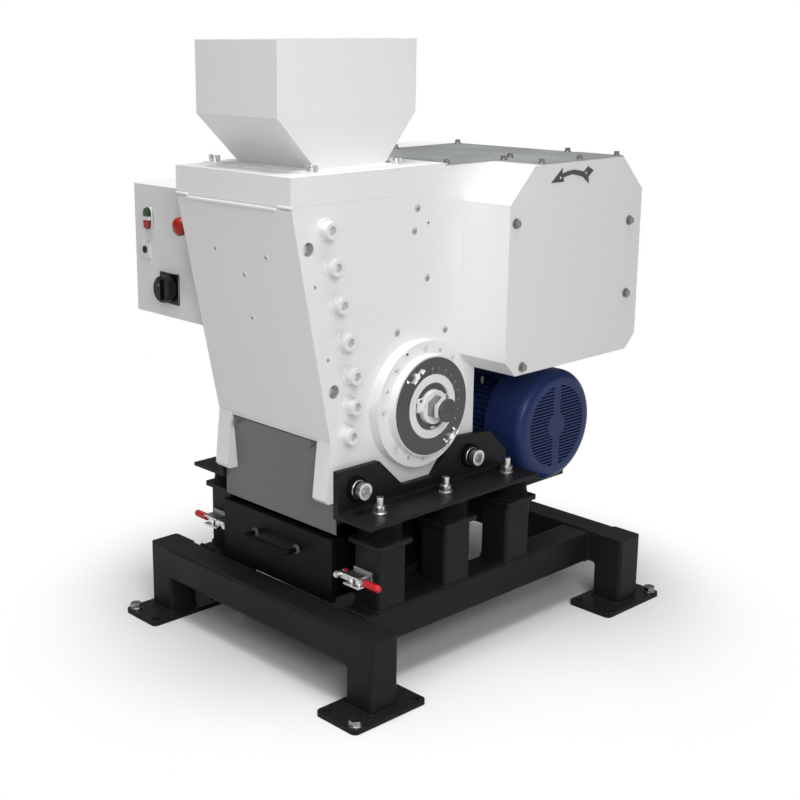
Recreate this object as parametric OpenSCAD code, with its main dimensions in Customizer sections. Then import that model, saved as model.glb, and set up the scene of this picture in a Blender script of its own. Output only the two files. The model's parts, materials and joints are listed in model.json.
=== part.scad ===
// Laboratory jaw crusher on a welded floor frame, built as separate pieces.
// Lengths are millimetres. X is right, Y is back, Z is up, and the floor is z = 0.

/* [Frame] */
// Overall width over the legs
frame_w = 741; // [725:1:760]
// Overall depth over the legs
frame_d = 884; // [880:1:920]
// Wall thickness of the square tubes
tube_wall = 5; // [3:1:8]
// Thickness of the foot plates
foot_t = 10; // [8:1:14]

/* [Feed and drawer] */
// Height of the straight upper part of the hopper
hopper_h = 145; // [90:5:220]
// Height of the collecting drawer
drawer_h = 134; // [100:1:136]
// Length of the collecting drawer
drawer_l = 380; // [320:5:380]

/* [Jaws] */
// Thickness of the jaw plates over the teeth
wear_t = 30; // [26:1:32]
// Eccentricity of the drive shaft
swing_e = 3; // [2:0.5:4]
// Eccentricity of the gap-setting shaft
gap_e = 3; // [1:0.5:4]

/* [Drive] */
// Outer radius of the flywheel
flywheel_r = 180; // [150:1:182]
// Outer radius of the fan cowl on the motor
motor_r = 130.5; // [126:0.5:134]

/* [Controls and fits] */
// Depth of the control box door
door_t = 22; // [18:1:26]
// Radius of the emergency stop button
estop_r = 20; // [16:1:24]
// Radial clearance of the turning and sliding fits
fit = 0.05; // [0.03:0.01:0.09]

/* [Hidden] */
$fn = 48;
still = 0.3;
tube = 75;
tube_r = 8;
frame_top = 167;
beam_z = frame_top - tube / 2;
leg_x = frame_w / 2 - tube / 2;
leg_y = frame_d / 2 - tube / 2;
rail_x = 240;
rail_l = frame_d / 2 - tube;
post_y = [-292.5, -95, 104];
post_d = 80;
post_top = 303;
cap_t = 10;
mount_z = post_top + cap_t;
flange_z = 356;
flange_t = 8;
bend_r = 7;
anchor_x = 40.5;
anchor_y = 83;
anchor_r = 9;
strip_z = 173;

side_in = 140.3;
side_out = 181.3;
side_low = 388;
cap_z = 1000;
cap_top = 1057;
rear_top = 1051;
back_y = 456;
back_high = rear_top - 78;
back_low = 646;
case_low = 612;
slope = 0.2096;
wall_z = 511;
wall_d = 102;
liner_top = 990;
tilt = atan(slope);
jaw_tilt = 7.02;

dial_y = -134;
dial_z = 560;
shaft_r = 36;
lobe_r = 42;
bush_r = 50;
flange_r = 136;
boss_r = 108;
boss_x = 228;
ring_r = 104.5;
wing_r = 92;
wing_a = 126;

pin_y = -20;
pin_r = 16;
main_y = 230;
main_z = 824;
main_r = 38;
end_r = 30;
crank_r = 50;
big_r = crank_r + 2 * swing_e + gap_e + 0.5;

motor_y = 300;
motor_z = 430;
motor_shaft_r = 19;
motor_foot = 298;
fin_r = motor_r - 8.5;
fin_step = 6;
terminal_z = 553;
grille_r = 98;
slot_pitch = 7.6;
belt_x = [-216, -231, -246];
belt_w = 13;
belt_t = 8;
driven_r = 170;
drive_r = 55;

guard_x = 309.6;
guard_w = 3;
guard_screws = [[22, 937], [414, 908], [415, 742], [57, 627]];
side_screws = [[-394, 952], [-378, 878], [-361, 801], [-344, 724],
    [-326, 651], [-325, 588], [-335, 528]];

low_screws = [for (p = side_screws) if (p[1] < 690) p];

box_l = -450;
box_f = -400;
box_b = -190;
box_z0 = 703;
box_z1 = 993;
door_r = -184;
door_w = 3;
hinge_r = 4.5;
hinge_x = box_l - hinge_r - still;
hinge_y = box_f + door_t;
hinge_z = [box_z0 + 60, box_z1 - 60];
btn_x = -391;
btn_r = 9.5;

drawer_w = 172;
drawer_y = -360;
clamp_z = 234;
clamp_x = 222;
handle_x = 244;
clamp_y = -356;

function front_y(z) = -376.7 - slope * (z - 519);
function cap_back(z) = -88 + 37 * (z - cap_z) / (cap_top - cap_z);
function jaw_y(z) = -202 + tan(jaw_tilt) * (z - 528);

// Block given by its two corners along each direction
module block(x0, x1, y0, y1, z0, z1) {
    translate([x0, y0, z0]) cube([x1 - x0, y1 - y0, z1 - z0]);
}

// Round bars along X, Y and Z
module bar_x(x0, x1, y, z, r) {
    translate([x0, y, z]) rotate([0, 90, 0]) cylinder(h = x1 - x0, r = r);
}

module bar_y(y0, y1, x, z, r) {
    translate([x, y0, z]) rotate([-90, 0, 0]) cylinder(h = y1 - y0, r = r);
}

module bar_z(z0, z1, x, y, r) {
    translate([x, y, z0]) cylinder(h = z1 - z0, r = r);
}

// Flat outline in Y and Z made solid along X
module along_x(x0, x1) {
    translate([x0, 0, 0]) rotate([90, 0, 90]) linear_extrude(x1 - x0) children();
}

// Flat outline in X and Z made solid along Y
module along_y(y0, y1) {
    translate([0, y1, 0]) rotate([90, 0, 0]) linear_extrude(y1 - y0) children();
}

module round_box(w, h, r) {
    square([w - 2 * r, h], center = true);
    square([w, h - 2 * r], center = true);
    for (i = [-1, 1], j = [-1, 1])
        translate([i * (w / 2 - r), j * (h / 2 - r)]) circle(r);
}

module tube_solid(gap) {
    round_box(tube - 2 * gap, tube - 2 * gap, max(tube_r - gap, 1));
}

// Cap screw along X, its head outwards in the direction s
module cap_screw(s, x, y, z, r, head_r, head_h, len) {
    socket = head_r * 0.55;
    difference() {
        union() {
            translate([x, y, z]) rotate([0, 90 * s, 0]) cylinder(h = head_h, r = head_r);
            translate([x, y, z]) rotate([0, -90 * s, 0]) cylinder(h = len, r = r);
        }
        translate([x + s * head_h * 0.45, y, z]) rotate([0, 90 * s, 0])
            cylinder(h = head_h, r = socket, $fn = 6);
    }
}

// Cross tube with a leg and a foot plate at each end
module end_beam(s) {
    y = s * leg_y;
    difference() {
        union() {
            for (x = [-leg_x, leg_x]) {
                translate([x, y, foot_t]) linear_extrude(frame_top - foot_t) tube_solid(0);
                translate([x, y, 0]) linear_extrude(foot_t) round_box(116, 202, 12);
            }
            translate([-leg_x, y, beam_z]) rotate([90, 0, 90]) linear_extrude(2 * leg_x)
                tube_solid(0);
        }
        for (x = [-leg_x, leg_x]) {
            translate([x, y, foot_t]) linear_extrude(frame_top - foot_t - tube_wall)
                tube_solid(tube_wall);
            for (i = [-1, 1], j = [-1, 1])
                bar_z(-1, foot_t + 1, x + i * anchor_x, y + j * anchor_y, anchor_r);
        }
        translate([-leg_x, y, beam_z]) rotate([90, 0, 90]) linear_extrude(2 * leg_x)
            tube_solid(tube_wall);
    }
}

module end_beams() {
    color([0.14, 0.14, 0.14]) {
        end_beam(-1);
        end_beam(1);
    }
}

// Long tube with three posts, their cap plates and the drawer guide
module rail_right() {
    difference() {
        union() {
            translate([rail_x, rail_l, beam_z]) rotate([90, 0, 0])
                linear_extrude(2 * rail_l) tube_solid(0);
            for (y = post_y) {
                translate([rail_x, y, frame_top - tube_r]) linear_extrude(post_top - frame_top + tube_r)
                    round_box(tube, post_d, tube_r);
                translate([rail_x, y, post_top]) linear_extrude(cap_t)
                    round_box(96, 98, 6);
            }
            block(196, 202.6, -300, 20, 122, strip_z);
            block(150, 202.6, -300, 20, strip_z - 6, strip_z);
            block(drawer_w + 1.5, drawer_w + 7.5, -300, 20, strip_z - 1, strip_z + 16);
        }
        translate([rail_x, rail_l + 1, beam_z]) rotate([90, 0, 0])
            linear_extrude(2 * rail_l + 2) tube_solid(tube_wall);
        for (y = post_y) {
            translate([rail_x, y, frame_top]) linear_extrude(post_top - frame_top)
                round_box(tube - 2 * tube_wall, post_d - 2 * tube_wall, 3);
        }
    }
}

module side_rails() {
    color([0.14, 0.14, 0.14]) {
        rail_right();
        mirror([1, 0, 0]) rail_right();
    }
}

module hex_bolts() {
    color([0.75, 0.75, 0.76]) {
        for (i = [-1, 1], j = [-1, 1]) {
            x = i * (leg_x + anchor_x);
            y = j * (leg_y + anchor_y);
            bar_z(1, foot_t + 1, x, y, 8);
            bar_z(foot_t, foot_t + 3, x, y, 15);
            translate([x, y, foot_t + 3]) cylinder(h = 10, r = 13.8, $fn = 6);
        }
        for (x = [-99, 79], y = [-108, 108]) {
            bar_z(motor_foot - 22, motor_foot + 16, x, motor_y + y, 6);
            translate([x, motor_y + y, motor_foot + 14]) cylinder(h = 8, r = 10.4, $fn = 6);
            translate([x, motor_y + y, motor_foot - 20]) cylinder(h = 8, r = 10.4, $fn = 6);
        }
    }
}

module rubber_mounts() {
    color([0.07, 0.07, 0.07])
        for (s = [-1, 1], y = post_y)
            translate([s * 238, y, mount_z]) rotate_extrude()
                difference() {
                    square([30, flange_z - mount_z]);
                    translate([62, (flange_z - mount_z) / 2]) circle(38);
                }
}

// Angle bracket outline seen from the side
module bracket_outline() {
    polygon([[-370, flange_z], [-370, 457], [-252, 456], [-182, 389], [-90, 387],
        [-25, 461], [93, 454], [151, 398], [151, flange_z]]);
}

// Hollow corner of radius r
module bend_fillet(r) {
    difference() {
        square(r);
        translate([r, r]) circle(r);
    }
}

module bracket_right() {
    difference() {
        union() {
            along_x(side_out, 196) bracket_outline();
            block(side_out, 290, -370, 151, flange_z, flange_z + flange_t);
            along_y(-370, 151) translate([196, flange_z + flange_t]) bend_fillet(bend_r);
        }
        bar_x(170, 200, -320, 413, 12 + still);
        bar_x(170, 200, 25, 411, 12 + still);
        for (y = post_y) bar_z(flange_z - 1, flange_z + flange_t + 1, 238, y, 8 + still);
    }
}

module mount_brackets() {
    color([0.14, 0.14, 0.14]) {
        bracket_right();
        mirror([1, 0, 0]) bracket_right();
    }
}

module bracket_bolts() {
    color([0.8, 0.8, 0.8])
        for (s = [-1, 1]) {
            for (p = [[-320, 413], [25, 411]]) {
                cap_screw(s, s * 201, p[0], p[1], 12, 18, 24, 40);
                translate([s * 196, p[0], p[1]]) rotate([0, 90 * s, 0])
                    cylinder(h = 5.5, r = 26);
            }
            for (y = post_y) {
                bar_z(flange_z, 399, s * 238, y, 8);
                bar_z(flange_z + flange_t, flange_z + flange_t + 3, s * 238, y, 16);
                translate([s * 238, y, flange_z + flange_t + 3]) cylinder(h = 13, r = 13.8, $fn = 6);
            }
        }
}

module side_outline() {
    polygon([[front_y(cap_z), cap_z], [-87.9, cap_z], [cap_back(rear_top) + 0.1, rear_top],
        [385, rear_top],
        [back_y, back_high], [back_y, back_low], [back_y - 32, case_low], [51, case_low],
        [51, side_low], [-384, side_low],
        [-390.6, side_low + 8], [-376.7, 519]]);
}

module side_right(screws) {
    difference() {
        along_x(side_in, side_out) side_outline();
        bar_x(100, 200, dial_y, dial_z, 60 + still);
        bar_x(100, 200, main_y, main_z, 62 + still);
        for (p = screws) bar_x(100, 200, p[0], p[1], 12 + still);
        for (p = [[-435, 917], [-368, 623]]) bar_x(160, 200, p[0], p[1], 14);
        for (p = [[-418, 841], [-384, 691]]) bar_x(165, 200, p[0], p[1], 4);
        for (p = [[-320, 413], [25, 411]]) bar_x(158, 200, p[0], p[1], 12 + still);
        for (p = guard_screws) bar_x(165, 200, p[0], p[1], 5 + still);
        for (a = [0 : 45 : 315])
            bar_x(160, 200, dial_y + 119 * cos(a), dial_z + 119 * sin(a), 5 + still);
        for (z = [450, 520]) bar_x(130, 166, 5, z, 8 + still);
    }
}

module left_side_plate() {
    color([0.86, 0.86, 0.86]) mirror([1, 0, 0]) side_right(low_screws);
}

module right_side_plate() {
    color([0.86, 0.86, 0.86]) side_right(side_screws);
}

// Hollow casting behind the front face, between the side plates
module front_wall() {
    z1 = 993;
    color([0.85, 0.85, 0.85]) difference() {
        along_x(-140, 140) polygon([[front_y(wall_z) + 1, wall_z], [front_y(z1) + 1, z1],
            [front_y(z1) + wall_d, z1], [front_y(wall_z) + wall_d, wall_z]]);
        for (s = [-1, 1]) along_x(s > 0 ? 8 : -98, s > 0 ? 98 : -8)
            polygon([[front_y(500) + 16, 500], [front_y(963) + 16, 963],
                [front_y(963) + 74, 963], [front_y(500) + 74, 500]]);
        for (p = side_screws) bar_x(106, 150, p[0], p[1], 12 + still);
        for (p = low_screws) bar_x(-150, -106, p[0], p[1], 12 + still);
    }
}

module socket_screws() {
    color([0.84, 0.84, 0.84])
        for (s = [-1, 1]) {
            for (p = s > 0 ? side_screws : low_screws)
                cap_screw(s, s * side_out, p[0], p[1], 12, 17.5, 25, 73);
            for (a = [0 : 45 : 315])
                cap_screw(s, s * 199, dial_y + 119 * cos(a), dial_z + 119 * sin(a), 5, 8, 8, 36);
        }
}

// Slab with upright teeth; shift moves the teeth by half a pitch
module jaw_slab(len, shift) {
    linear_extrude(len) {
        translate([-128, 0]) square([256, wear_t - 8]);
        for (x = [-112 + shift : 28 : 112 - shift])
            translate([x, wear_t - 8.1]) polygon([[-9, 0], [9, 0], [4, 8.1], [-4, 8.1]]);
    }
}

module fixed_jaw() {
    color([0.5, 0.5, 0.5])
        translate([0, front_y(wall_z) + wall_d + 0.03, wall_z]) rotate([tilt, 0, 0])
            jaw_slab(484, 0);
}

module wear_liners() {
    color([0.55, 0.55, 0.55])
        for (x = [-140, 129.5])
            along_x(x, x + 10.5) polygon([[front_y(wall_z) + wall_d + 0.05, wall_z],
                [front_y(liner_top) + wall_d + 0.05, liner_top], [-160, liner_top],
                [-225, wall_z + 19], [-225, wall_z]]);
}

module rear_wall() {
    color([0.8, 0.8, 0.8]) {
        block(-127.5, 127.5, 35, 51, 392, case_low);
        block(-side_in, side_in, 35, back_y - 32, case_low, case_low + 10);
        along_x(-side_in, side_in) polygon([[back_y - 32, case_low], [back_y, back_low],
            [back_y, back_high], [385, rear_top], [371, rear_top], [back_y - 10, back_high - 4],
            [back_y - 10, back_low + 4], [back_y - 38, case_low + 9.9]]);
    }
}

module top_covers() {
    color([0.6, 0.62, 0.62]) {
        block(-side_out, side_out, -50, 378, rear_top, rear_top + 3);
        block(side_out + 1, 308, 100, 384, rear_top, rear_top + 3);
    }
}

module guard_bolts() {
    color([0.8, 0.8, 0.8]) {
        for (s = [-1, 1], p = guard_screws) {
            bar_x(s > 0 ? 166 : -guard_x - 3, s > 0 ? guard_x + 3 : -166, p[0], p[1], 5);
            bar_x(s > 0 ? guard_x : -guard_x - 2, s > 0 ? guard_x + 2 : -guard_x, p[0], p[1], 11);
            translate([s > 0 ? guard_x + 2 : -guard_x - 9, p[0], p[1]]) rotate([0, 90, 0])
                cylinder(h = 7, r = 8, $fn = 6);
        }
        for (p = [[-168, -38], [168, -38], [-168, 150], [168, 165], [-168, 366], [168, 366],
            [195, 112], [298, 112], [298, 240], [298, 372]]) {
            bar_z(rear_top + 3, rear_top + 5, p[0], p[1], 8);
            translate([p[0], p[1], rear_top + 5]) cylinder(h = 7, r = 6.5, $fn = 6);
        }
    }
}

module cap_outline() {
    polygon([[-479, cap_z], [-479, cap_top], [-51, cap_top], [-88, cap_z]]);
}

// Feed opening through the cap
feed_x = 118;
feed_y0 = -359;
feed_y1 = -174;

// Straight upper part of the hopper and the studs in its flange
hopper_z = 1163;
hopper_x = 126;
hopper_y0 = -464;
hopper_y1 = -90;
sheet = 3;
stud_x = 152;
stud_y = [-400, -170];

module cap_box() {
    color([0.86, 0.86, 0.86]) difference() {
        union() {
            difference() {
                along_x(-side_out, side_out) cap_outline();
                block(-172, 172, -467, -100, cap_z - 1, cap_top - 10);
            }
            block(-feed_x - 8, feed_x + 8, feed_y0 - 8, feed_y1 + 8, cap_z + 4, cap_top - 1);
            block(-139.5, 139.5, -478, -467, 993.4, cap_z + 1);
        }
        block(-feed_x, feed_x, feed_y0, feed_y1, cap_z - 5, cap_top + 5);
        for (x = [-stud_x, stud_x], y = stud_y) bar_z(cap_top - 20, cap_top + 1, x, y, 4 + still);
    }
}

// Square funnel between two heights, smaller at the bottom
module funnel(g) {
    z0 = cap_top + 4;
    z1 = hopper_z;
    intersection() {
        along_y(-500, 0) polygon([[-feed_x - sheet + g, z0], [feed_x + sheet - g, z0],
            [hopper_x - g, z1], [-hopper_x + g, z1]]);
        along_x(-200, 200) polygon([[feed_y0 - sheet + g, z0], [feed_y1 + sheet - g, z0],
            [hopper_y1 - g, z1], [hopper_y0 + g, z1]]);
    }
}

module hopper() {
    color([0.88, 0.88, 0.88]) difference() {
        union() {
            funnel(0);
            block(-hopper_x, hopper_x, hopper_y0, hopper_y1, hopper_z, hopper_z + hopper_h);
            block(-stud_x - 16, stud_x + 16, stud_y[0] - 16, stud_y[1] + 14,
                cap_top, cap_top + 4);
        }
        funnel(sheet);
        block(-hopper_x + sheet, hopper_x - sheet, hopper_y0 + sheet, hopper_y1 - sheet,
            hopper_z - 0.01, hopper_z + hopper_h + 7);
        block(-feed_x, feed_x, feed_y0, feed_y1, cap_top - 1, cap_top + 4.01);
        for (x = [-stud_x, stud_x], y = stud_y) bar_z(cap_top - 1, cap_top + 5, x, y, 4 + still);
    }
}

module hopper_nuts() {
    color([0.45, 0.45, 0.46])
        for (x = [-stud_x, stud_x], y = stud_y) {
            bar_z(cap_top - 10, cap_top + 16, x, y, 4);
            bar_z(cap_top + 4, cap_top + 11, x, y, 8);
            block(x - 15, x + 15, y - 2, y + 2, cap_top + 5, cap_top + 9);
            for (w = [x - 12.5, x + 12.5])
                block(w - 4, w + 4, y - 2, y + 2, cap_top + 8, cap_top + 17);
        }
}

// Eight-sided guard outline, made smaller by g all round
module guard_outline(g) {
    k = 0.586 * g;
    c = 75 - k;
    b = 33 - k;
    polygon([[3 + g, 610 + g + b], [3 + g + b, 610 + g], [458 - g - b, 610 + g],
        [458 - g, 610 + g + b], [458 - g, rear_top - g - c], [458 - g - c, rear_top - g],
        [3 + g + c, rear_top - g], [3 + g, rear_top - g - c]]);
}

module guard_spacers() {
    for (p = guard_screws) bar_x(side_out, guard_x - 1, p[0], p[1], 11);
}

module guard_holes() {
    for (p = guard_screws) bar_x(side_out - 1, guard_x + 1, p[0], p[1], 5 + still);
}

module right_guard() {
    color([0.87, 0.87, 0.87]) difference() {
        union() {
            difference() {
                along_x(side_out, guard_x) guard_outline(0);
                along_x(side_out - 1, guard_x - guard_w) guard_outline(guard_w);
            }
            intersection() {
                guard_spacers();
                along_x(side_out, guard_x) guard_outline(0);
            }
        }
        guard_holes();
    }
}

module belt_cover_outline(g) {
    polygon([[60 + g, 640], [203 + g, 388 + g], [237 + g * 0.6, 350 + g], [363 - g * 0.6, 350 + g],
        [397 - g, 388 + g], [422 - g, 640]]);
}

module left_guard() {
    color([0.87, 0.87, 0.87]) mirror([1, 0, 0]) difference() {
        union() {
            difference() {
                along_x(side_out, guard_x) guard_outline(0);
                along_x(side_out - 1, guard_x - guard_w) guard_outline(guard_w);
                along_x(side_out + guard_w, guard_x - guard_w) belt_cover_outline(guard_w);
            }
            intersection() {
                guard_spacers();
                along_x(side_out, guard_x) guard_outline(0);
            }
        }
        guard_holes();
    }
}

// Closed trough round the motor pulley, under the left guard
module belt_cover() {
    color([0.87, 0.87, 0.87]) mirror([1, 0, 0]) difference() {
        intersection() {
            along_x(side_out, guard_x) belt_cover_outline(0);
            block(100, 400, 0, 500, 300, 610);
        }
        along_x(side_out + guard_w, guard_x - guard_w) belt_cover_outline(guard_w);
        bar_x(100, 200, motor_y, motor_z, 40);
    }
}

module right_flange() {
    color([0.87, 0.87, 0.87]) difference() {
        union() {
            bar_x(side_in, side_out + 1, dial_y, dial_z, 60);
            bar_x(side_out, 208, dial_y, dial_z, flange_r);
            bar_x(207, boss_x, dial_y, dial_z, boss_r);
            difference() {
                bar_x(boss_x - 1, boss_x + 4, dial_y, dial_z, 68.7);
                bar_x(boss_x - 2, boss_x + 5, dial_y, dial_z, 51);
            }
        }
        bar_x(side_in - 1, boss_x + 5, dial_y, dial_z, shaft_r + fit);
        for (a = [0 : 45 : 315]) {
            bar_x(180, 210, dial_y + 119 * cos(a), dial_z + 119 * sin(a), 5 + still);
            bar_x(199, 210, dial_y + 119 * cos(a), dial_z + 119 * sin(a), 8 + still);
        }
        for (a = [67.5 : 90 : 337.5])
            bar_x(200, 210, dial_y + 118 * cos(a), dial_z + 118 * sin(a), 4);
        for (a = [0, 180])
            bar_x(205, boss_x + 1, dial_y + wing_r * cos(wing_a + a),
                dial_z + wing_r * sin(wing_a + a), 4 + fit);
    }
}

module left_flange() {
    color([0.87, 0.87, 0.87]) difference() {
        union() {
            bar_x(-side_out - 1, -side_in, dial_y, dial_z, 60);
            bar_x(-208, -side_out, dial_y, dial_z, flange_r);
        }
        bar_x(-196, -side_in + 1, dial_y, dial_z, shaft_r + fit);
        for (a = [0 : 45 : 315]) {
            bar_x(-210, -180, dial_y + 119 * cos(a), dial_z + 119 * sin(a), 5 + still);
            bar_x(-210, -199, dial_y + 119 * cos(a), dial_z + 119 * sin(a), 8 + still);
        }
    }
}

module dial_ring() {
    color([0.3, 0.3, 0.3]) difference() {
        bar_x(boss_x, boss_x + 3, dial_y, dial_z, ring_r);
        bar_x(boss_x - 1, boss_x + 4, dial_y, dial_z, 69);
        for (a = [0, 180])
            bar_x(boss_x - 1, boss_x + 4, dial_y + wing_r * cos(wing_a + a),
                dial_z + wing_r * sin(wing_a + a), 4 + fit);
    }
}

module main_bearings() {
    color([0.5, 0.5, 0.5])
        for (s = [-1, 1]) difference() {
            union() {
                bar_x(s > 0 ? 126 : -side_out, s > 0 ? side_out : -126, main_y, main_z, 62);
                bar_x(s > 0 ? 126 : -side_in, s > 0 ? side_in : -126, main_y, main_z, 85);
            }
            bar_x(s > 0 ? 120 : -190, s > 0 ? 190 : -120, main_y, main_z, main_r + fit);
        }
}

module chute() {
    color([0.4, 0.4, 0.4]) {
        difference() {
            block(-140, 140, -359, -60, 317, 492);
            block(-137, 137, -356, -63, 316, 493);
        }
        for (s = [-1, 1]) difference() {
            block(s * 121 - 10, s * 121 + 10, -367, -356, 488, 506);
            bar_y(-368, -350, s * 121, 499, 3 + still);
        }
    }
}

module chute_cover() {
    color([0.42, 0.42, 0.42]) {
        along_x(-139.5, 139.5) polygon([[-372, 508], [-369, 508], [-359, 391], [-359, 385],
            [-362, 385], [-362, 391]]);
        block(-180, 180, -362, -359, 317, 387.6);
        for (s = [-1, 1]) {
            bar_y(-380, -369, s * 121, 499, 3);
            bar_y(-384, -379, s * 121, 499, 5.5);
        }
    }
}

module motor_base() {
    color([0.14, 0.14, 0.14]) difference() {
        union() {
            block(-140, 140, 160, 438, motor_foot - 12, motor_foot);
            for (x = [-140, 128]) along_x(x, x + 12) polygon([[-40, 392], [-40, 560], [34, 560],
                [34, 430], [165, motor_foot - 1], [438, motor_foot - 1], [438, 262], [150, 262],
                [30, 350]]);
            block(-129, 129, 160, 172, 262, motor_foot - 11);
        }
        for (x = [-99, 79], y = [-108, 108])
            bar_z(motor_foot - 20, motor_foot + 1, x, motor_y + y, 6 + still);
        for (z = [450, 520]) bar_x(-150, 150, 5, z, 8 + still);
    }
}

module motor_housing() {
    color([0.15, 0.19, 0.37]) difference() {
        union() {
            bar_x(-148, 118, motor_y, motor_z, 108);
            along_x(-128, 112) translate([motor_y, motor_z]) {
                for (a = [0 : fin_step : 359]) rotate(a) translate([100, -1.2])
                    square([fin_r - 100, 2.4]);
            }
            bar_x(-150, -132, motor_y, motor_z, motor_r - 6);
            bar_x(112, 132, motor_y, motor_z, motor_r - 3 - still);
            bar_x(-162, -149, motor_y, motor_z, 50);
            block(-22, 100, motor_y - 62, motor_y + 62, motor_z + 70, terminal_z);
        }
        bar_x(-170, 140, motor_y, motor_z, motor_shaft_r + fit);
    }
}

module terminal_box() {
    color([0.15, 0.19, 0.37]) {
        block(-30, 108, motor_y - 95, motor_y + 95, terminal_z, terminal_z + 43);
        block(-32, 110, motor_y - 97, motor_y + 97, terminal_z + 42.9, terminal_z + 49);
    }
}

// Two bolted feet, each with a saddle for the ribs
module motor_feet() {
    color([0.15, 0.19, 0.37]) for (x = [-118, 60]) difference() {
        union() {
            block(x, x + 38, motor_y - 125, motor_y + 125, motor_foot, motor_foot + 14);
            block(x, x + 38, motor_y - 90, motor_y + 90, motor_foot, motor_foot + 45);
        }
        bar_x(-170, 140, motor_y, motor_z, fin_r + still);
        for (y = [-108, 108]) bar_z(motor_foot - 1, motor_foot + 20, x + 19, motor_y + y, 6 + still);
    }
}

// Fan cowl with a rounded edge and a round grille of level slots
module fan_cowl() {
    c = 28;
    x0 = 113;
    x1 = 203;
    color([0.15, 0.19, 0.37]) difference() {
        translate([x0, motor_y, motor_z]) rotate([0, 90, 0]) rotate_extrude() difference() {
            union() {
                square([motor_r - c, x1 - x0]);
                square([motor_r, x1 - x0 - c]);
                translate([motor_r - c, x1 - x0 - c]) circle(c);
            }
            translate([-1, -1]) {
                square([motor_r - c + 1, x1 - x0 - 2]);
                square([motor_r - 2, x1 - x0 - c + 1]);
            }
            translate([motor_r - c, x1 - x0 - c]) circle(c - 3);
        }
        along_x(190, 210) difference() {
            intersection() {
                translate([motor_y, motor_z]) circle(grille_r);
                union() for (i = [-12 : 12], s = [-1, 1])
                    translate([motor_y + s * 56 - 44, motor_z + i * slot_pitch - 1.9])
                        square([88, 3.8]);
            }
            translate([motor_y, motor_z]) circle(30);
        }
    }
}

module control_box() {
    w = 2.5;
    color([0.82, 0.82, 0.82]) {
        difference() {
            block(box_l, -side_out, box_f + door_t, box_b, box_z0, box_z1);
            block(box_l + w, -side_out - w, box_f + door_t - 1, box_b - w, box_z0 + w, box_z1 - w);
        }
        block(box_l + 20, -200, box_b - w - 8, box_b - w + 0.5, box_z0 + 20, box_z1 - 20);
        block(-420, -340, -280, box_b - w - 7, 870, 950);
        block(-310, -220, -270, box_b - w - 7, 850, 950);
        block(-420, -220, -260, box_b - w - 7, 750, 790);
        for (z = hinge_z) {
            bar_z(z - 10, z + 10, hinge_x, hinge_y, hinge_r);
            bar_z(z - 30, z + 30, hinge_x, hinge_y, 1.5);
            block(box_l - 1.5, box_l + 1, hinge_y + still, hinge_y + 24, z - 10, z + 10);
        }
    }
}

module clamp_base_right() {
    block(208, 262, -337, -332.5, clamp_z - 18, clamp_z + 18);
    for (z = [clamp_z - 12, clamp_z + 8]) block(212, 256, -370, -336, z, z + 4);
    for (x = [clamp_x, handle_x]) bar_z(clamp_z - 12, clamp_z + 12, x, clamp_y, 3);
}

module clamp_bases() {
    color([0.75, 0.75, 0.75]) {
        clamp_base_right();
        mirror([1, 0, 0]) clamp_base_right();
    }
}

// Belt round both pulleys: rounds joined by the tangent outline
module belt_outline(g) {
    a0 = [main_y, main_z];
    b0 = [motor_y, motor_z];
    ra = driven_r - belt_t + still + g;
    rb = drive_r - belt_t + still + g;
    d = norm(a0 - b0);
    base = atan2(b0[1] - a0[1], b0[0] - a0[0]);
    t = acos((ra - rb) / d);
    translate(a0) circle(ra);
    translate(b0) circle(rb);
    polygon([a0 + ra * [cos(base + t), sin(base + t)], b0 + rb * [cos(base + t), sin(base + t)],
        b0 + rb * [cos(base - t), sin(base - t)], a0 + ra * [cos(base - t), sin(base - t)]]);
}

module drive_belts() {
    color([0.06, 0.06, 0.06])
        for (x = belt_x) along_x(x - belt_w / 2 + 0.4, x + belt_w / 2 - 0.4) difference() {
            belt_outline(belt_t - 1);
            belt_outline(0);
        }
}

module gap_shaft() {
    color([0.7, 0.7, 0.72]) {
        bar_x(-192, boss_x, dial_y, dial_z, shaft_r);
        bar_x(-127, 127, dial_y, dial_z + gap_e, lobe_r);
        bar_x(boss_x - 1, 241, dial_y, dial_z, 20);
        translate([240, dial_y, dial_z]) rotate([0, 90, 0]) cylinder(h = 16, r = 26.5, $fn = 6);
        bar_x(255, 263, dial_y, dial_z, 12);
        bar_x(262, 272, dial_y, dial_z, 22);
    }
}

module pointer_hub() {
    color([0.85, 0.85, 0.85]) difference() {
        union() {
            bar_x(boss_x, 240, dial_y, dial_z, 36);
            block(boss_x + 1, boss_x + 5, dial_y - 47, dial_y - 30, dial_z - 6, dial_z + 6);
        }
        bar_x(boss_x - 1, 241, dial_y, dial_z, 20 + fit);
    }
}

module jaw_bush() {
    color([0.75, 0.6, 0.3]) difference() {
        bar_x(-127, 127, dial_y, dial_z + gap_e, bush_r);
        bar_x(-128, 128, dial_y, dial_z + gap_e, lobe_r + fit);
    }
}

module swing_jaw() {
    color([0.45, 0.47, 0.5]) {
        difference() {
            union() {
                along_x(-127, 127) polygon([[jaw_y(528), 528], [jaw_y(984), 984], [-96, 984],
                    [14, main_z + 34], [14, main_z - 34], [-76, 580], [-120, 510], [jaw_y(528) + 6, 518]]);
                bar_x(-127, 127, dial_y, dial_z + gap_e, 60);
                bar_x(-127, 127, pin_y, main_z, 36);
            }
            bar_x(-128, 128, dial_y, dial_z + gap_e, bush_r + fit);
            block(-32, 32, -62, 60, main_z - 54, main_z + 56);
        }
        bar_x(-100, 100, pin_y, main_z, pin_r);
    }
}

module moving_jaw_plate() {
    color([0.5, 0.5, 0.5])
        translate([0, jaw_y(530) - 0.03, 530]) rotate([-jaw_tilt, 0, 0]) mirror([0, 1, 0])
            jaw_slab(452, 14);
}

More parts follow.
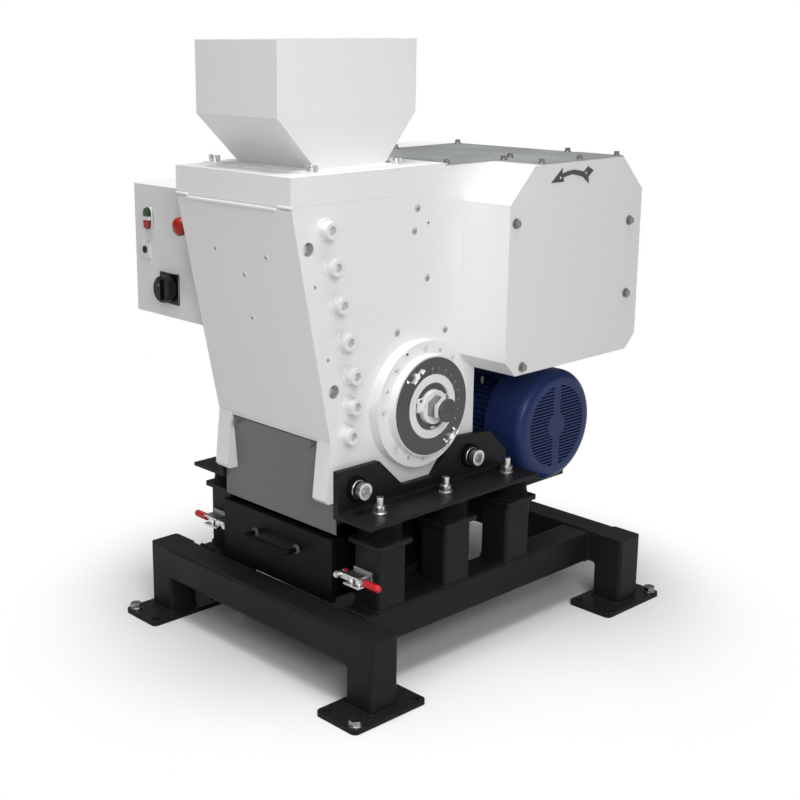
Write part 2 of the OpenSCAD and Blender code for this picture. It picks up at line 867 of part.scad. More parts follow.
module connecting_rod() {
    color([0.4, 0.42, 0.45]) difference() {
        union() {
            bar_x(-30, 30, pin_y, main_z, 34);
            bar_x(-30, 30, main_y, main_z, big_r + 20);
            block(-22, 22, pin_y, main_y, main_z - 24, main_z + 24);
        }
        bar_x(-31, 31, pin_y, main_z, pin_r + fit);
        bar_x(-31, 31, main_y, main_z, big_r);
    }
}

module eccentric_shaft() {
    color([0.7, 0.7, 0.72]) {
        bar_x(-side_out, side_out, main_y, main_z, main_r);
        bar_x(-34, 34, main_y, main_z + swing_e, crank_r);
        bar_x(-276, 300, main_y, main_z, end_r);
    }
}

module flywheel() {
    color([0.35, 0.36, 0.38]) difference() {
        union() {
            difference() {
                bar_x(205, 285, main_y, main_z, flywheel_r);
                bar_x(204, 286, main_y, main_z, flywheel_r - 34);
            }
            bar_x(234, 256, main_y, main_z, flywheel_r - 30);
            bar_x(205, 285, main_y, main_z, 55);
        }
        bar_x(200, 290, main_y, main_z, end_r + fit);
        for (a = [45 : 90 : 315])
            bar_x(230, 260, main_y + 98 * cos(a), main_z + 98 * sin(a), 26);
    }
}

// Belt wheel with three grooves, between x = -262 and x = -200
module belt_wheel(y, z, r, bore) {
    translate([-262, y, z]) rotate([0, 90, 0]) rotate_extrude() difference() {
        translate([bore, 0]) square([r - bore, 62]);
        for (x = belt_x) translate([r - belt_t, x + 262 - belt_w / 2]) square([belt_t + 1, belt_w]);
    }
}

module driven_pulley() {
    color([0.35, 0.36, 0.38]) difference() {
        belt_wheel(main_y, main_z, driven_r, end_r + fit);
        for (a = [0 : 90 : 270])
            bar_x(-270, -190, main_y + 95 * cos(a), main_z + 95 * sin(a), 30);
    }
}

module motor_shaft() {
    color([0.7, 0.7, 0.72]) bar_x(-268, 176, motor_y, motor_z, motor_shaft_r);
}

module motor_pulley() {
    color([0.35, 0.36, 0.38]) belt_wheel(motor_y, motor_z, drive_r, motor_shaft_r + fit);
}

module cooling_fan() {
    color([0.1, 0.1, 0.1]) difference() {
        union() {
            bar_x(138, 176, motor_y, motor_z, 34);
            bar_x(138, 142, motor_y, motor_z, 100);
            for (a = [0 : 45 : 315]) translate([141, motor_y, motor_z]) rotate([a, 0, 0])
                block(0, 32, -1.5, 1.5, 30, 98);
        }
        bar_x(130, 180, motor_y, motor_z, motor_shaft_r + fit);
    }
}

module stadium(x, z, w, h) {
    translate([x - w / 2, z - (h - w) / 2]) square([w, h - w]);
    for (s = [-1, 1]) translate([x, z + s * (h - w) / 2]) circle(w / 2);
}

module control_door() {
    color([0.84, 0.84, 0.84]) difference() {
        union() {
            difference() {
                block(box_l, door_r, box_f, box_f + door_t - 0.5, box_z0, box_z1);
                block(box_l + door_w, door_r - door_w, box_f + door_w, box_f + door_t,
                    box_z0 + door_w, box_z1 - door_w);
            }
            along_y(box_f - 6, box_f + 1) stadium(btn_x, 919, 28, 54);
            bar_y(box_f - 10, box_f + 1, -240, 918, 15);
            block(-429.5, -392.5, box_f - 3, box_f + 1, 827.5, 864.5);
            block(-356, -286, box_f - 4, box_f + 1, 734, 804);
            for (z = hinge_z, s = [-1, 1]) {
                z0 = z + s * 20.3 - 10;
                bar_z(z0, z0 + 20, hinge_x, hinge_y, hinge_r);
                block(box_l - 1.5, box_l + 1, box_f + 2, hinge_y - 0.5, z0, z0 + 20);
            }
        }
        for (z = hinge_z) bar_z(z - 32, z + 32, hinge_x, hinge_y, 1.5 + fit);
        for (s = [-1, 1]) bar_y(box_f - 10, box_f, btn_x, 919 + s * 13.5, btn_r + fit);
        bar_y(box_f - 12, box_f + 1, -240, 918, 10 + fit);
        bar_y(box_f - 10, box_f + 10, -411, 846, 8 + fit);
        bar_y(box_f - 10, box_f + 10, -321, 769, 5 + fit);
    }
}

module start_button() {
    color([0.1, 0.45, 0.2]) bar_y(box_f - 9, box_f - 3, btn_x, 932.5, btn_r);
}

module stop_button() {
    color([0.7, 0.1, 0.1]) bar_y(box_f - 9, box_f - 3, btn_x, 905.5, btn_r);
}

module estop_button() {
    color([0.75, 0.2, 0.14]) {
        translate([-240, box_f - 16, 918]) rotate([90, 0, 0]) rotate_extrude() {
            square([estop_r, 9]);
            square([estop_r - 5, 14]);
            translate([estop_r - 5, 9]) intersection() {
                circle(5);
                square(6);
            }
        }
        bar_y(box_f - 17, box_f - 6, -240, 918, 10);
    }
}

module main_switch() {
    color([0.08, 0.08, 0.08]) {
        bar_y(box_f - 16, box_f - 4, -321, 769, 25);
        block(-328, -314, box_f - 34, box_f - 15, 747, 791);
        bar_y(box_f - 5, box_f + 9, -321, 769, 5);
    }
}

module key_switch() {
    color([0.1, 0.1, 0.1]) difference() {
        union() {
            bar_y(box_f - 5, box_f + 10, -411, 846, 8);
            block(-416, -406, box_f + 9, box_f + 12, 832, 854);
        }
        block(-412, -410, box_f - 6, box_f - 1, 841, 851);
    }
}

module drawer() {
    z1 = strip_z + drawer_h;
    color([0.12, 0.12, 0.12]) {
        difference() {
            block(-drawer_w, drawer_w, drawer_y, drawer_y + drawer_l, strip_z, z1 - 3);
            block(-drawer_w + 3, drawer_w - 3, drawer_y + 3, drawer_y + drawer_l - 3,
                strip_z + 3, z1 + 1);
        }
        block(-176, 176, drawer_y, drawer_y + 4, strip_z, z1);
        for (s = [-1, 1]) {
            bar_y(drawer_y - 40, drawer_y + 1, s * 68, 256, 6);
            bar_y(drawer_y - 4, drawer_y + 1, s * 68, 256, 11);
            translate([s * 68, drawer_y - 40, 256]) sphere(6);
        }
        bar_x(-68, 68, drawer_y - 40, 256, 6);
    }
}

module clamp_arm() {
    difference() {
        union() {
            bar_z(clamp_z - 7.5, clamp_z + 7.5, clamp_x, clamp_y, 7.5);
            block(184, clamp_x, clamp_y - 5, clamp_y + 5, clamp_z - 6, clamp_z + 6);
            bar_y(clamp_y - 14, clamp_y + 10, 187, clamp_z, 5.5);
            bar_y(clamp_y + 8, clamp_y + 17, 187, clamp_z, 7);
        }
        bar_z(clamp_z - 9, clamp_z + 9, clamp_x, clamp_y, 3 + fit);
    }
}

module clamp_handle() {
    difference() {
        union() {
            bar_z(clamp_z - 7.5, clamp_z + 7.5, handle_x, clamp_y, 7.5);
            bar_x(handle_x, 285, clamp_y, clamp_z, 4);
            bar_x(262, 298, clamp_y, clamp_z, 8);
            translate([298, clamp_y, clamp_z]) sphere(8);
        }
        bar_z(clamp_z - 9, clamp_z + 9, handle_x, clamp_y, 3 + fit);
    }
}

module left_clamp_arm() {
    color([0.75, 0.75, 0.75]) mirror([1, 0, 0]) clamp_arm();
}

module left_clamp_handle() {
    color([0.75, 0.1, 0.1]) mirror([1, 0, 0]) clamp_handle();
}

module right_clamp_arm() {
    color([0.75, 0.75, 0.75]) clamp_arm();
}

module right_clamp_handle() {
    color([0.75, 0.1, 0.1]) clamp_handle();
}

// Wing screw that holds the dial ring, at the angle a round the dial
module wing_screw(a) {
    y = dial_y + wing_r * cos(a);
    z = dial_z + wing_r * sin(a);
    bar_x(209, 238, y, z, 4);
    bar_x(boss_x + 3, 240, y, z, 7);
    translate([0, y, z]) rotate([40, 0, 0]) {
        block(234, 238, -17, 17, -2, 2);
        for (s = [-1, 1]) block(234, 246, s * 14 - 5, s * 14 + 5, -2, 2);
    }
}

module upper_wing_screw() {
    color([0.8, 0.8, 0.8]) wing_screw(wing_a);
}

module lower_wing_screw() {
    color([0.8, 0.8, 0.8]) wing_screw(wing_a + 180);
}

end_beams();
side_rails();
hex_bolts();
rubber_mounts();
mount_brackets();
bracket_bolts();
left_side_plate();
right_side_plate();
front_wall();
socket_screws();
fixed_jaw();
wear_liners();
rear_wall();
top_covers();
guard_bolts();
cap_box();
hopper();
hopper_nuts();
right_guard();
left_guard();
belt_cover();
right_flange();
left_flange();
dial_ring();
main_bearings();
chute();
chute_cover();
motor_base();
motor_housing();
terminal_box();
motor_feet();
fan_cowl();
control_box();
clamp_bases();
drive_belts();
gap_shaft();
pointer_hub();
jaw_bush();
swing_jaw();
moving_jaw_plate();
connecting_rod();
eccentric_shaft();
flywheel();
driven_pulley();
motor_shaft();
motor_pulley();
cooling_fan();
control_door();
start_button();
stop_button();
estop_button();
main_switch();
key_switch();
drawer();
left_clamp_arm();
left_clamp_handle();
right_clamp_arm();
right_clamp_handle();
upper_wing_screw();
lower_wing_screw();
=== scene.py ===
# %% [markdown]
# # A laboratory jaw crusher
#
# The solids of this machine come from its CAD model: a welded floor frame, two thick side plates,
# a hopper, a flywheel guard, a motor and a drawer. Blender adds what the solids leave out, which is
# paint, weld beads, small fasteners, dial numbers and light. Everything is in metres. X is right
# seen from the front, Y is back, Z is up, and the floor is at zero.

# %% Load the solids
import json
import math

import bpy
import bmesh
from mathutils import Matrix, Vector


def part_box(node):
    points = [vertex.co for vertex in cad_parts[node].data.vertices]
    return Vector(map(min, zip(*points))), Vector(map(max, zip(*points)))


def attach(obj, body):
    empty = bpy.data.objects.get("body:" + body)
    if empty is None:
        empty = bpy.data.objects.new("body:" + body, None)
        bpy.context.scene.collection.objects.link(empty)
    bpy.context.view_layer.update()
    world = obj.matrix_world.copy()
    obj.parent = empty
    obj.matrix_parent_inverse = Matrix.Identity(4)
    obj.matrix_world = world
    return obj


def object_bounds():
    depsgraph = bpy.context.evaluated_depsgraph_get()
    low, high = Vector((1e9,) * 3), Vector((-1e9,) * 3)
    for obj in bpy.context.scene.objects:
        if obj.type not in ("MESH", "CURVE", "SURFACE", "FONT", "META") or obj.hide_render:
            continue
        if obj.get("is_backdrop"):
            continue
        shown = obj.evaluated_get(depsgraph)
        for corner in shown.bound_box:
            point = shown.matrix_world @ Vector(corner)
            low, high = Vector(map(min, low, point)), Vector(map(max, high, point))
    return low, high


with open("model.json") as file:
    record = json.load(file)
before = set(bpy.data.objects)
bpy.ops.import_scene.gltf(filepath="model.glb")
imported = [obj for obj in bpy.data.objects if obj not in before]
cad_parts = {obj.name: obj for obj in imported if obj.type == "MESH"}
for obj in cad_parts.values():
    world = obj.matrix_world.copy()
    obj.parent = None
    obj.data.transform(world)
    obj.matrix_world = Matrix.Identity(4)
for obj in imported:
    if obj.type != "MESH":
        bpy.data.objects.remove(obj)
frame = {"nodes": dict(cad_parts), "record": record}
cad_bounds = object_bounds()
nodes = frame["nodes"]
print("solids loaded:", len(nodes))

# %% [markdown]
# ## Camera
#
# The photograph was taken from the right front, a little above the dial. Its camera was worked out
# from the edges of the floor frame, so the picture of the model lies on the photograph. The lens is
# moved sideways by a small shift, because the photograph is not cropped round its own centre.

# %% Place the camera
PICTURE = 800
SENSOR_MM = 36
FOCAL_PX = 1354.76
CENTRE_PX = (303.42, 371.85)
AZIMUTH = math.radians(48.645)
ELEVATION = math.radians(14.162)
ROLL = math.radians(-0.244)
CAMERA_AT = Vector((2.1039, -2.1417, 1.3252))


def camera_axes():
    """Right, top and back of the camera: turned and tilted first, then rolled."""
    back = Vector((math.sin(AZIMUTH) * math.cos(ELEVATION),
                   -math.cos(AZIMUTH) * math.cos(ELEVATION), math.sin(ELEVATION)))
    side = Vector((math.cos(AZIMUTH), math.sin(AZIMUTH), 0))
    up = back.cross(side)
    right = side * math.cos(ROLL) + up * math.sin(ROLL)
    top = up * math.cos(ROLL) - side * math.sin(ROLL)
    return right, top, back


right, top, back = camera_axes()
lens = bpy.data.cameras.new("camera")
lens.sensor_width = SENSOR_MM
lens.lens = SENSOR_MM * FOCAL_PX / PICTURE
lens.shift_x = 0.5 - CENTRE_PX[0] / PICTURE
lens.shift_y = CENTRE_PX[1] / PICTURE - 0.5
camera = bpy.data.objects.new("camera", lens)
camera.matrix_world = Matrix.Translation(CAMERA_AT) @ Matrix((right, top, back)).transposed().to_4x4()
bpy.context.collection.objects.link(camera)
bpy.context.scene.camera = camera
bpy.context.scene.view_settings.view_transform = "Standard"
print("camera lens in mm:", round(lens.lens, 2))

# %% [markdown]
# ## Helpers for nodes
#
# Materials, shader groups and geometry trees are all made of nodes, and each node has some options,
# some fixed inputs and some inputs fed by other nodes. One helper writes all three in one line, so a
# tree reads from its start to its end. Inputs that share a name are reached by their number instead.

# %% Helpers for nodes
def feed(tree, value, socket):
    """Sets a socket to a fixed value, or links the output of another node to it."""
    if isinstance(value, bpy.types.NodeSocket):
        tree.links.new(value, socket)
    else:
        socket.default_value = value


def add(tree, kind, **values):
    """Adds a node. Lower-case names are its own options, the others inputs: To_Min is To Min."""
    node = tree.nodes.new(kind)
    for name, value in values.items():
        if name.islower():
            setattr(node, name, value)
        else:
            feed(tree, value, node.inputs[name.replace("_", " ")])
    return node


def math_node(tree, kind, first, second=0.0):
    node = add(tree, "ShaderNodeMath", operation=kind)
    feed(tree, first, node.inputs[0])
    feed(tree, second, node.inputs[1])
    return node.outputs[0]


def mix_shader(tree, factor, first, second):
    node = add(tree, "ShaderNodeMixShader", Fac=factor)
    feed(tree, first, node.inputs[1])
    feed(tree, second, node.inputs[2])
    return node.outputs[0]


print("node helpers ready")

# %% [markdown]
# ## Floor
#
# The photograph has a white ground with a soft grey shadow under the frame. A plain pale sheet takes
# that shadow near the machine and fades to flat white further out. The fade is there only for the
# camera and for mirrored rays, found with a Light Path node, so it throws no light on the machine.

# %% Build the floor
FLOOR_SIZE = 40.0
FLOOR_Z = -0.0005
FADE_START = 0.56
FADE_END = 0.93
PAPER_TONE = 0.6
PAPER_TONE_SEEN = 0.79


def floor_material():
    material = bpy.data.materials.new("studio floor")
    material.use_nodes = True
    tree = material.node_tree
    tree.nodes.clear()
    path = add(tree, "ShaderNodeLightPath")
    seen = path.outputs["Is Camera Ray"]
    tone = add(tree, "ShaderNodeMapRange", Value=seen, To_Min=PAPER_TONE, To_Max=PAPER_TONE_SEEN)
    paper = add(tree, "ShaderNodeBsdfDiffuse", Color=tone.outputs["Result"])
    white = add(tree, "ShaderNodeEmission", Strength=1.0)
    place = add(tree, "ShaderNodeTexCoord")
    far = add(tree, "ShaderNodeVectorMath", operation="LENGTH")
    feed(tree, place.outputs["Object"], far.inputs[0])
    fade = add(tree, "ShaderNodeMapRange", interpolation_type="SMOOTHSTEP", Value=far.outputs["Value"],
               From_Min=FADE_START, From_Max=FADE_END)
    seen_or_mirrored = math_node(tree, "MAXIMUM", seen, path.outputs["Is Glossy Ray"])
    whiteness = math_node(tree, "MULTIPLY", fade.outputs["Result"], seen_or_mirrored)
    surface = mix_shader(tree, whiteness, paper.outputs["BSDF"], white.outputs["Emission"])
    add(tree, "ShaderNodeOutputMaterial", Surface=surface)
    return material


bpy.ops.mesh.primitive_plane_add(size=FLOOR_SIZE, location=(0, 0, FLOOR_Z))
floor = bpy.context.object
floor.name = "studio floor"
floor.data.materials.append(floor_material())
floor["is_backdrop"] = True
print("floor size in metres:", FLOOR_SIZE)

# %% [markdown]
# ## World and lamps
#
# White paint needs a bright side, a slightly darker front and no hard shadow, so three large soft
# lamps stand far out and the world adds a little even light. Metal shows only what it mirrors, so
# mirrored rays see a studio with a dim horizon instead, and the camera sees plain white.

# %% Build the world and the lamps
AMBIENT = 0.12
WHITE = (1, 1, 1, 1)
MIRRORED_TONES = ((0.0, 0.30), (0.22, 0.10), (0.45, 0.14), (0.62, 0.75), (1.0, 0.55))
BODY_CENTRE = (0, -0.05, 0.7)
LAMPS = (("side lamp", (2.8, -1.8, 2.1), 1.6, 60), ("top lamp", (0.3, -0.5, 4.4), 2.2, 165),
         ("front lamp", (0.9, -4.2, 2.8), 2.6, 24))


def world_light():
    world = bpy.data.worlds.new("studio")
    world.use_nodes = True
    tree = world.node_tree
    tree.nodes.clear()
    place = add(tree, "ShaderNodeTexCoord")
    parts = add(tree, "ShaderNodeSeparateXYZ", Vector=place.outputs["Generated"])
    ramp = add(tree, "ShaderNodeValToRGB", Fac=parts.outputs["Z"])
    stops = ramp.color_ramp.elements
    for number, (position, tone) in enumerate(MIRRORED_TONES):
        stop = stops[number] if number < len(stops) else stops.new(position)
        stop.position = position
        stop.color = (tone, tone, tone, 1)
    mirrored = add(tree, "ShaderNodeBackground", Color=ramp.outputs["Color"])
    ambient = add(tree, "ShaderNodeBackground", Color=WHITE, Strength=AMBIENT)
    shown = add(tree, "ShaderNodeBackground", Color=WHITE)
    path = add(tree, "ShaderNodeLightPath")
    unseen = mix_shader(tree, path.outputs["Is Glossy Ray"], ambient.outputs["Background"],
                        mirrored.outputs["Background"])
    every_ray = mix_shader(tree, path.outputs["Is Camera Ray"], unseen, shown.outputs["Background"])
    add(tree, "ShaderNodeOutputWorld", Surface=every_ray)
    bpy.context.scene.world = world


def soft_lamp(name, spot, size, watts):
    """A square lamp that points at the middle of the machine."""
    lamp = bpy.data.lights.new(name, "AREA")
    lamp.size = size
    lamp.energy = watts
    holder = bpy.data.objects.new(name, lamp)
    holder.location = spot
    holder.rotation_euler = (Vector(BODY_CENTRE) - Vector(spot)).to_track_quat("-Z", "Y").to_euler()
    bpy.context.collection.objects.link(holder)


world_light()
for name, spot, size, watts in LAMPS:
    soft_lamp(name, spot, size, watts)
print("world and lamps:", len(LAMPS))

# %% [markdown]
# ## Surface groups
#
# No edge on a real machine is perfectly sharp, and no paint is perfectly flat. Both effects are
# needed by every finish here, so they are built once as shader groups. The first rounds the edges in
# the shading with a Bevel node and adds a fine grain. The second gives a value that varies slowly over
# the surface, which every finish uses for its roughness.

# %% Build the shader groups
BEVEL_SAMPLES = 4
GRAIN_DETAIL = 3.0
CLOUD_DETAIL = 5.0
CLOUD_LOW, CLOUD_HIGH = 0.35, 0.65


def new_group(name, inputs, outputs):
    group = bpy.data.node_groups.new(name, "ShaderNodeTree")
    for label, kind, value in inputs:
        socket = group.interface.new_socket(label, in_out="INPUT", socket_type=kind)
        socket.default_value = value
    for label, kind in outputs:
        group.interface.new_socket(label, in_out="OUTPUT", socket_type=kind)
    return group, add(group, "NodeGroupInput").outputs, add(group, "NodeGroupOutput").inputs


def rounded_grain_group():
    group, given, made = new_group(
        "rounded edges and grain",
        [("Edge Radius", "NodeSocketFloat", 0.0015), ("Grain Scale", "NodeSocketFloat", 400.0),
         ("Grain Depth", "NodeSocketFloat", 0.0001), ("Grain Strength", "NodeSocketFloat", 0.2)],
        [("Normal", "NodeSocketVector")])
    edge = add(group, "ShaderNodeBevel", samples=BEVEL_SAMPLES, Radius=given["Edge Radius"])
    place = add(group, "ShaderNodeTexCoord")
    grain = add(group, "ShaderNodeTexNoise", Vector=place.outputs["Object"], Scale=given["Grain Scale"],
                Detail=GRAIN_DETAIL)
    bump = add(group, "ShaderNodeBump", Height=grain.outputs["Fac"], Distance=given["Grain Depth"],
               Strength=given["Grain Strength"], Normal=edge.outputs["Normal"])
    feed(group, bump.outputs["Normal"], made["Normal"])
    return group


def uneven_group():
    group, given, made = new_group(
        "uneven finish",
        [("Scale", "NodeSocketFloat", 6.0), ("Low", "NodeSocketFloat", 0.4),
         ("High", "NodeSocketFloat", 0.5)],
        [("Value", "NodeSocketFloat")])
    place = add(group, "ShaderNodeTexCoord")
    cloud = add(group, "ShaderNodeTexNoise", Vector=place.outputs["Object"], Scale=given["Scale"],
                Detail=CLOUD_DETAIL)
    span = add(group, "ShaderNodeMapRange", Value=cloud.outputs["Fac"], From_Min=CLOUD_LOW,
               From_Max=CLOUD_HIGH, To_Min=given["Low"], To_Max=given["High"])
    feed(group, span.outputs["Result"], made["Value"])
    return group


EDGES = rounded_grain_group()
UNEVEN = uneven_group()
print("shader groups:", EDGES.name, "and", UNEVEN.name)

# %% [markdown]
# ## Finishes
#
# A powder coat is a dielectric with a fine grain, a casting is coarser and duller, and zinc plate is
# a metal with low roughness. One function makes all of them from a few numbers, and the numbers are
# what tells the finishes apart. The shader itself stays in each material.

# %% Write the finish function
UNEVEN_SCALE = 7.0


def finish(name, colour, rough, metal=0.0, edge=0.0015, grain=(400.0, 0.0001, 0.2), spread=0.05,
           shine=0.5):
    """Grain is its scale, depth and strength, and spread is how far the roughness varies."""
    material = bpy.data.materials.new(name)
    material.use_nodes = True
    tree = material.node_tree
    skin = tree.nodes["Principled BSDF"]
    skin.inputs["Base Color"].default_value = (*colour, 1)
    skin.inputs["Metallic"].default_value = metal
    skin.inputs["Specular IOR Level"].default_value = shine
    surface = add(tree, "ShaderNodeGroup", node_tree=EDGES, Edge_Radius=edge, Grain_Scale=grain[0],
                  Grain_Depth=grain[1], Grain_Strength=grain[2])
    feed(tree, surface.outputs["Normal"], skin.inputs["Normal"])
    vary = add(tree, "ShaderNodeGroup", node_tree=UNEVEN, Scale=UNEVEN_SCALE, Low=rough - spread,
               High=rough + spread)
    feed(tree, vary.outputs["Value"], skin.inputs["Roughness"])
    return material


print("finish function ready")

# %% [markdown]
# Every solid names the finish that it wants, so a table under those names covers them all. Some
# fasteners look different from the rest: the socket screws are painted over, the guard bolts are dull,
# the hexagon bolts grey and the wing screws bright, so these get their own.

# %% Make the finishes
FINISHES = {
    "body_white": finish("white machine paint", (0.79, 0.79, 0.785), 0.38, grain=(260.0, 0.00012, 0.25)),
    "box_white": finish("light powder coat", (0.75, 0.75, 0.75), 0.45, edge=0.003,
                        grain=(700.0, 0.00008, 0.3)),
    "frame_black": finish("black powder coat", (0.0125, 0.0125, 0.013), 0.42, edge=0.003,
                          grain=(650.0, 0.0001, 0.35), spread=0.07, shine=0.12),
    "drawer_black": finish("black drawer paint", (0.004, 0.004, 0.004), 0.4, spread=0.06, shine=0.1),
    "grey_steel": finish("grey chute paint", (0.135, 0.135, 0.135), 0.42),
    "motor_blue": finish("blue motor paint", (0.017, 0.033, 0.125), 0.36, edge=0.002,
                         grain=(300.0, 0.00015, 0.3), shine=0.2),
    "zinc_steel": finish("bright zinc plate", (0.66, 0.66, 0.65), 0.34, metal=1.0, edge=0.0012),
    "machined_steel": finish("turned steel", (0.6, 0.6, 0.61), 0.24, metal=1.0, edge=0.0008),
    "galvanised": finish("galvanised sheet", (0.46, 0.48, 0.48), 0.42, metal=0.85),
    "jaw_steel": finish("wear steel", (0.2, 0.2, 0.2), 0.4, metal=0.9),
    "cast_dark": finish("dark cast iron", (0.05, 0.052, 0.055), 0.55, metal=0.3,
                        grain=(220.0, 0.0004, 0.5)),
    "bronze": finish("bearing bronze", (0.55, 0.35, 0.14), 0.3, metal=1.0),
    "dial_dark": finish("dark dial coat", (0.052, 0.052, 0.054), 0.4, edge=0.0004),
    # Near-black rubber, darkened further as painted shade under the frame; also used for painted shade
    # rings.
    "mount_rubber": finish("mount rubber and painted shade", (0.0035, 0.0035, 0.0035), 0.65, shine=0.06),
    "fan_black": finish("black plastic", (0.004, 0.004, 0.004), 0.3, edge=0.001, shine=0.22),
    "start_green": finish("green button", (0.012, 0.06, 0.016), 0.3, edge=0.0008, shine=0.3),
    "stop_red": finish("red button", (0.36, 0.016, 0.006), 0.3, edge=0.0015, shine=0.3),
    "grip_red": finish("red grip", (0.55, 0.012, 0.020), 0.3, edge=0.002),
}
SCREW_WHITE = finish("painted screws", (0.77, 0.77, 0.765), 0.35, edge=0.002)
DULL_ZINC = finish("dull zinc", (0.26, 0.26, 0.25), 0.3, metal=0.9, edge=0.001)
NUT_GREY = finish("grey nut steel", (0.34, 0.34, 0.34), 0.28, metal=1.0, edge=0.0008)
BRIGHT_STEEL = finish("bright steel", (0.9, 0.9, 0.89), 0.22, metal=0.85, edge=0.0008)
OWN_FINISH = {"socket_screws": SCREW_WHITE, "guard_bolts": DULL_ZINC, "gap_shaft": NUT_GREY,
              "hex_bolts": NUT_GREY, "upper_wing_screw": BRIGHT_STEEL, "lower_wing_screw": BRIGHT_STEEL}
for part in frame["record"]["subparts"]:
    mesh = nodes[part["node"]].data
    mesh.materials.clear()
    mesh.materials.append(OWN_FINISH.get(part["node"], FINISHES[part["material_slot"]]))
print("finishes for the solids:", len(FINISHES) + len(set(OWN_FINISH.values())))

# %% [markdown]
# ## Helpers for small pieces
#
# The added pieces are few and small, so plain mesh helpers make them. Each leaves the place of the
# piece in its mesh and the object at the origin, as the solids have it, and hands the piece to the
# body that it moves with. A closed mesh gets its doubles merged and its faces turned outwards.

# %% Keep a piece
MERGE_DISTANCE = 1e-7


def keep(name, mesh, material, body):
    piece = bpy.data.objects.new(name, mesh)
    bpy.context.collection.objects.link(piece)
    mesh.materials.clear()
    mesh.materials.append(material)
    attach(piece, body)
    return piece


def from_bmesh(shape):
    mesh = bpy.data.meshes.new("piece")
    bmesh.ops.remove_doubles(shape, verts=shape.verts, dist=MERGE_DISTANCE)
    bmesh.ops.recalc_face_normals(shape, faces=shape.faces)
    shape.to_mesh(mesh)
    shape.free()
    return mesh


def box_middle(name):
    """Centre of the box round a solid."""
    low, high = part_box(name)
    return [(low[i] + high[i]) / 2 for i in range(3)]


def side_word(side):
    return "left" if side < 0 else "right"


print("hopper centre in metres:", [round(value, 3) for value in box_middle("hopper")])

# %% [markdown]
# Nuts, caps, rings and discs are lathe work on the real machine. Here a closed profile of radius and
# height is turned about any axis, and edges sharper than a set angle stay crisp in the shading.

# %% Turn a piece
ON_AXIS = 1e-9
SHARP_ANGLE = math.radians(35)


def tube_profile(inner, outer, low, high):
    return [(inner, low), (outer, low), (outer, high), (inner, high)]


def turned(name, profile, at, axis, material, body, steps=48):
    """A lathe form: profile is a closed list of (radius, distance along the axis)."""
    shape = bmesh.new()
    turn = Vector((0, 0, 1)).rotation_difference(Vector(axis)).to_matrix()
    rings = []
    for k in range(steps):
        a = 2 * math.pi * k / steps
        rings.append([shape.verts.new(Vector(at) + turn @ Vector((r * math.cos(a), r * math.sin(a), h)))
                      for r, h in profile])
    count = len(profile)
    for k in range(steps):
        here, there = rings[k], rings[(k + 1) % steps]
        for i in range(count):
            j = (i + 1) % count
            starts_on_axis, ends_on_axis = profile[i][0] < ON_AXIS, profile[j][0] < ON_AXIS
            if starts_on_axis and ends_on_axis:
                continue
            if starts_on_axis:
                shape.faces.new([here[i], there[j], here[j]])
            elif ends_on_axis:
                shape.faces.new([here[i], there[i], here[j]])
            else:
                shape.faces.new([here[i], there[i], there[j], here[j]])
    mesh = from_bmesh(shape)
    mesh.shade_smooth()
    mesh.set_sharp_from_angle(angle=SHARP_ANGLE)
    return keep(name, mesh, material, body)


def disc(name, at, axis, radius, thick, material, body, inner=0.0, soft=0.0004):
    """A disc or a ring with a slightly broken outer edge."""
    profile = [(inner, 0), (radius, 0), (radius, thick - soft), (radius - soft, thick), (inner, thick)]
    return turned(name, profile, at, axis, material, body)


print("lathe forms ready")

# %% [markdown]
# Folded tabs and clips are blocks with soft edges, slats are plain bars joined in one mesh, and signs
# are flat outlines with a thickness.

# %% Blocks and plates
EDGE_SEGMENTS = 3


def fit_cube(verts, low, high):
    """Stretches a unit cube between two corners."""
    for v in verts:
        v.co = Vector([(v.co[i] + 0.5) * (high[i] - low[i]) + low[i] for i in range(3)])


def block(name, low, high, material, body, soft):
    shape = bmesh.new()
    made = bmesh.ops.create_cube(shape, size=1.0)
    fit_cube(made["verts"], Vector(low), Vector(high))
    bmesh.ops.bevel(shape, geom=list(shape.edges), offset=soft, segments=EDGE_SEGMENTS, affect="EDGES",
                    profile=0.5)
    return keep(name, from_bmesh(shape), material, body)


def many_bars(name, spans, material, body):
    """Several plain bars in one mesh: each span is a low and a high corner."""
    shape = bmesh.new()
    for low, high in spans:
        made = bmesh.ops.create_cube(shape, size=1.0)
        fit_cube(made["verts"], low, high)
    return keep(name, from_bmesh(shape), material, body)


def flat_plate(name, outline, lift, thick, material, body):
    """A flat piece: outline is in the plane, lift turns its points into places in the room."""
    shape = bmesh.new()
    low = [shape.verts.new(lift(u, v, 0)) for u, v in outline]
    high = [shape.verts.new(lift(u, v, thick)) for u, v in outline]
    shape.faces.new(low)
    shape.faces.new(high)
    for i in range(len(outline)):
        j = (i + 1) % len(outline)
        shape.faces.new([low[i], low[j], high[j], high[i]])
    return keep(name, from_bmesh(shape), material, body)


print("blocks, bars and plates ready")

# %% [markdown]
# ## Weld beads
#
# The posts, rails, legs and foot plates are welded. A real bead is a row of overlapping ripples, so
# Geometry Nodes place a small ball at every few millimetres of each seam. The seams are given as
# plain edges of a mesh, which keeps the tree free of any place or size of this machine. Every tree
# ends in real geometry with its material, because an export drops instances.

# %% Weld bead tree
RIPPLE_LOW, RIPPLE_HIGH = 0.85, 1.1
BALL_SUBDIVISIONS = 2


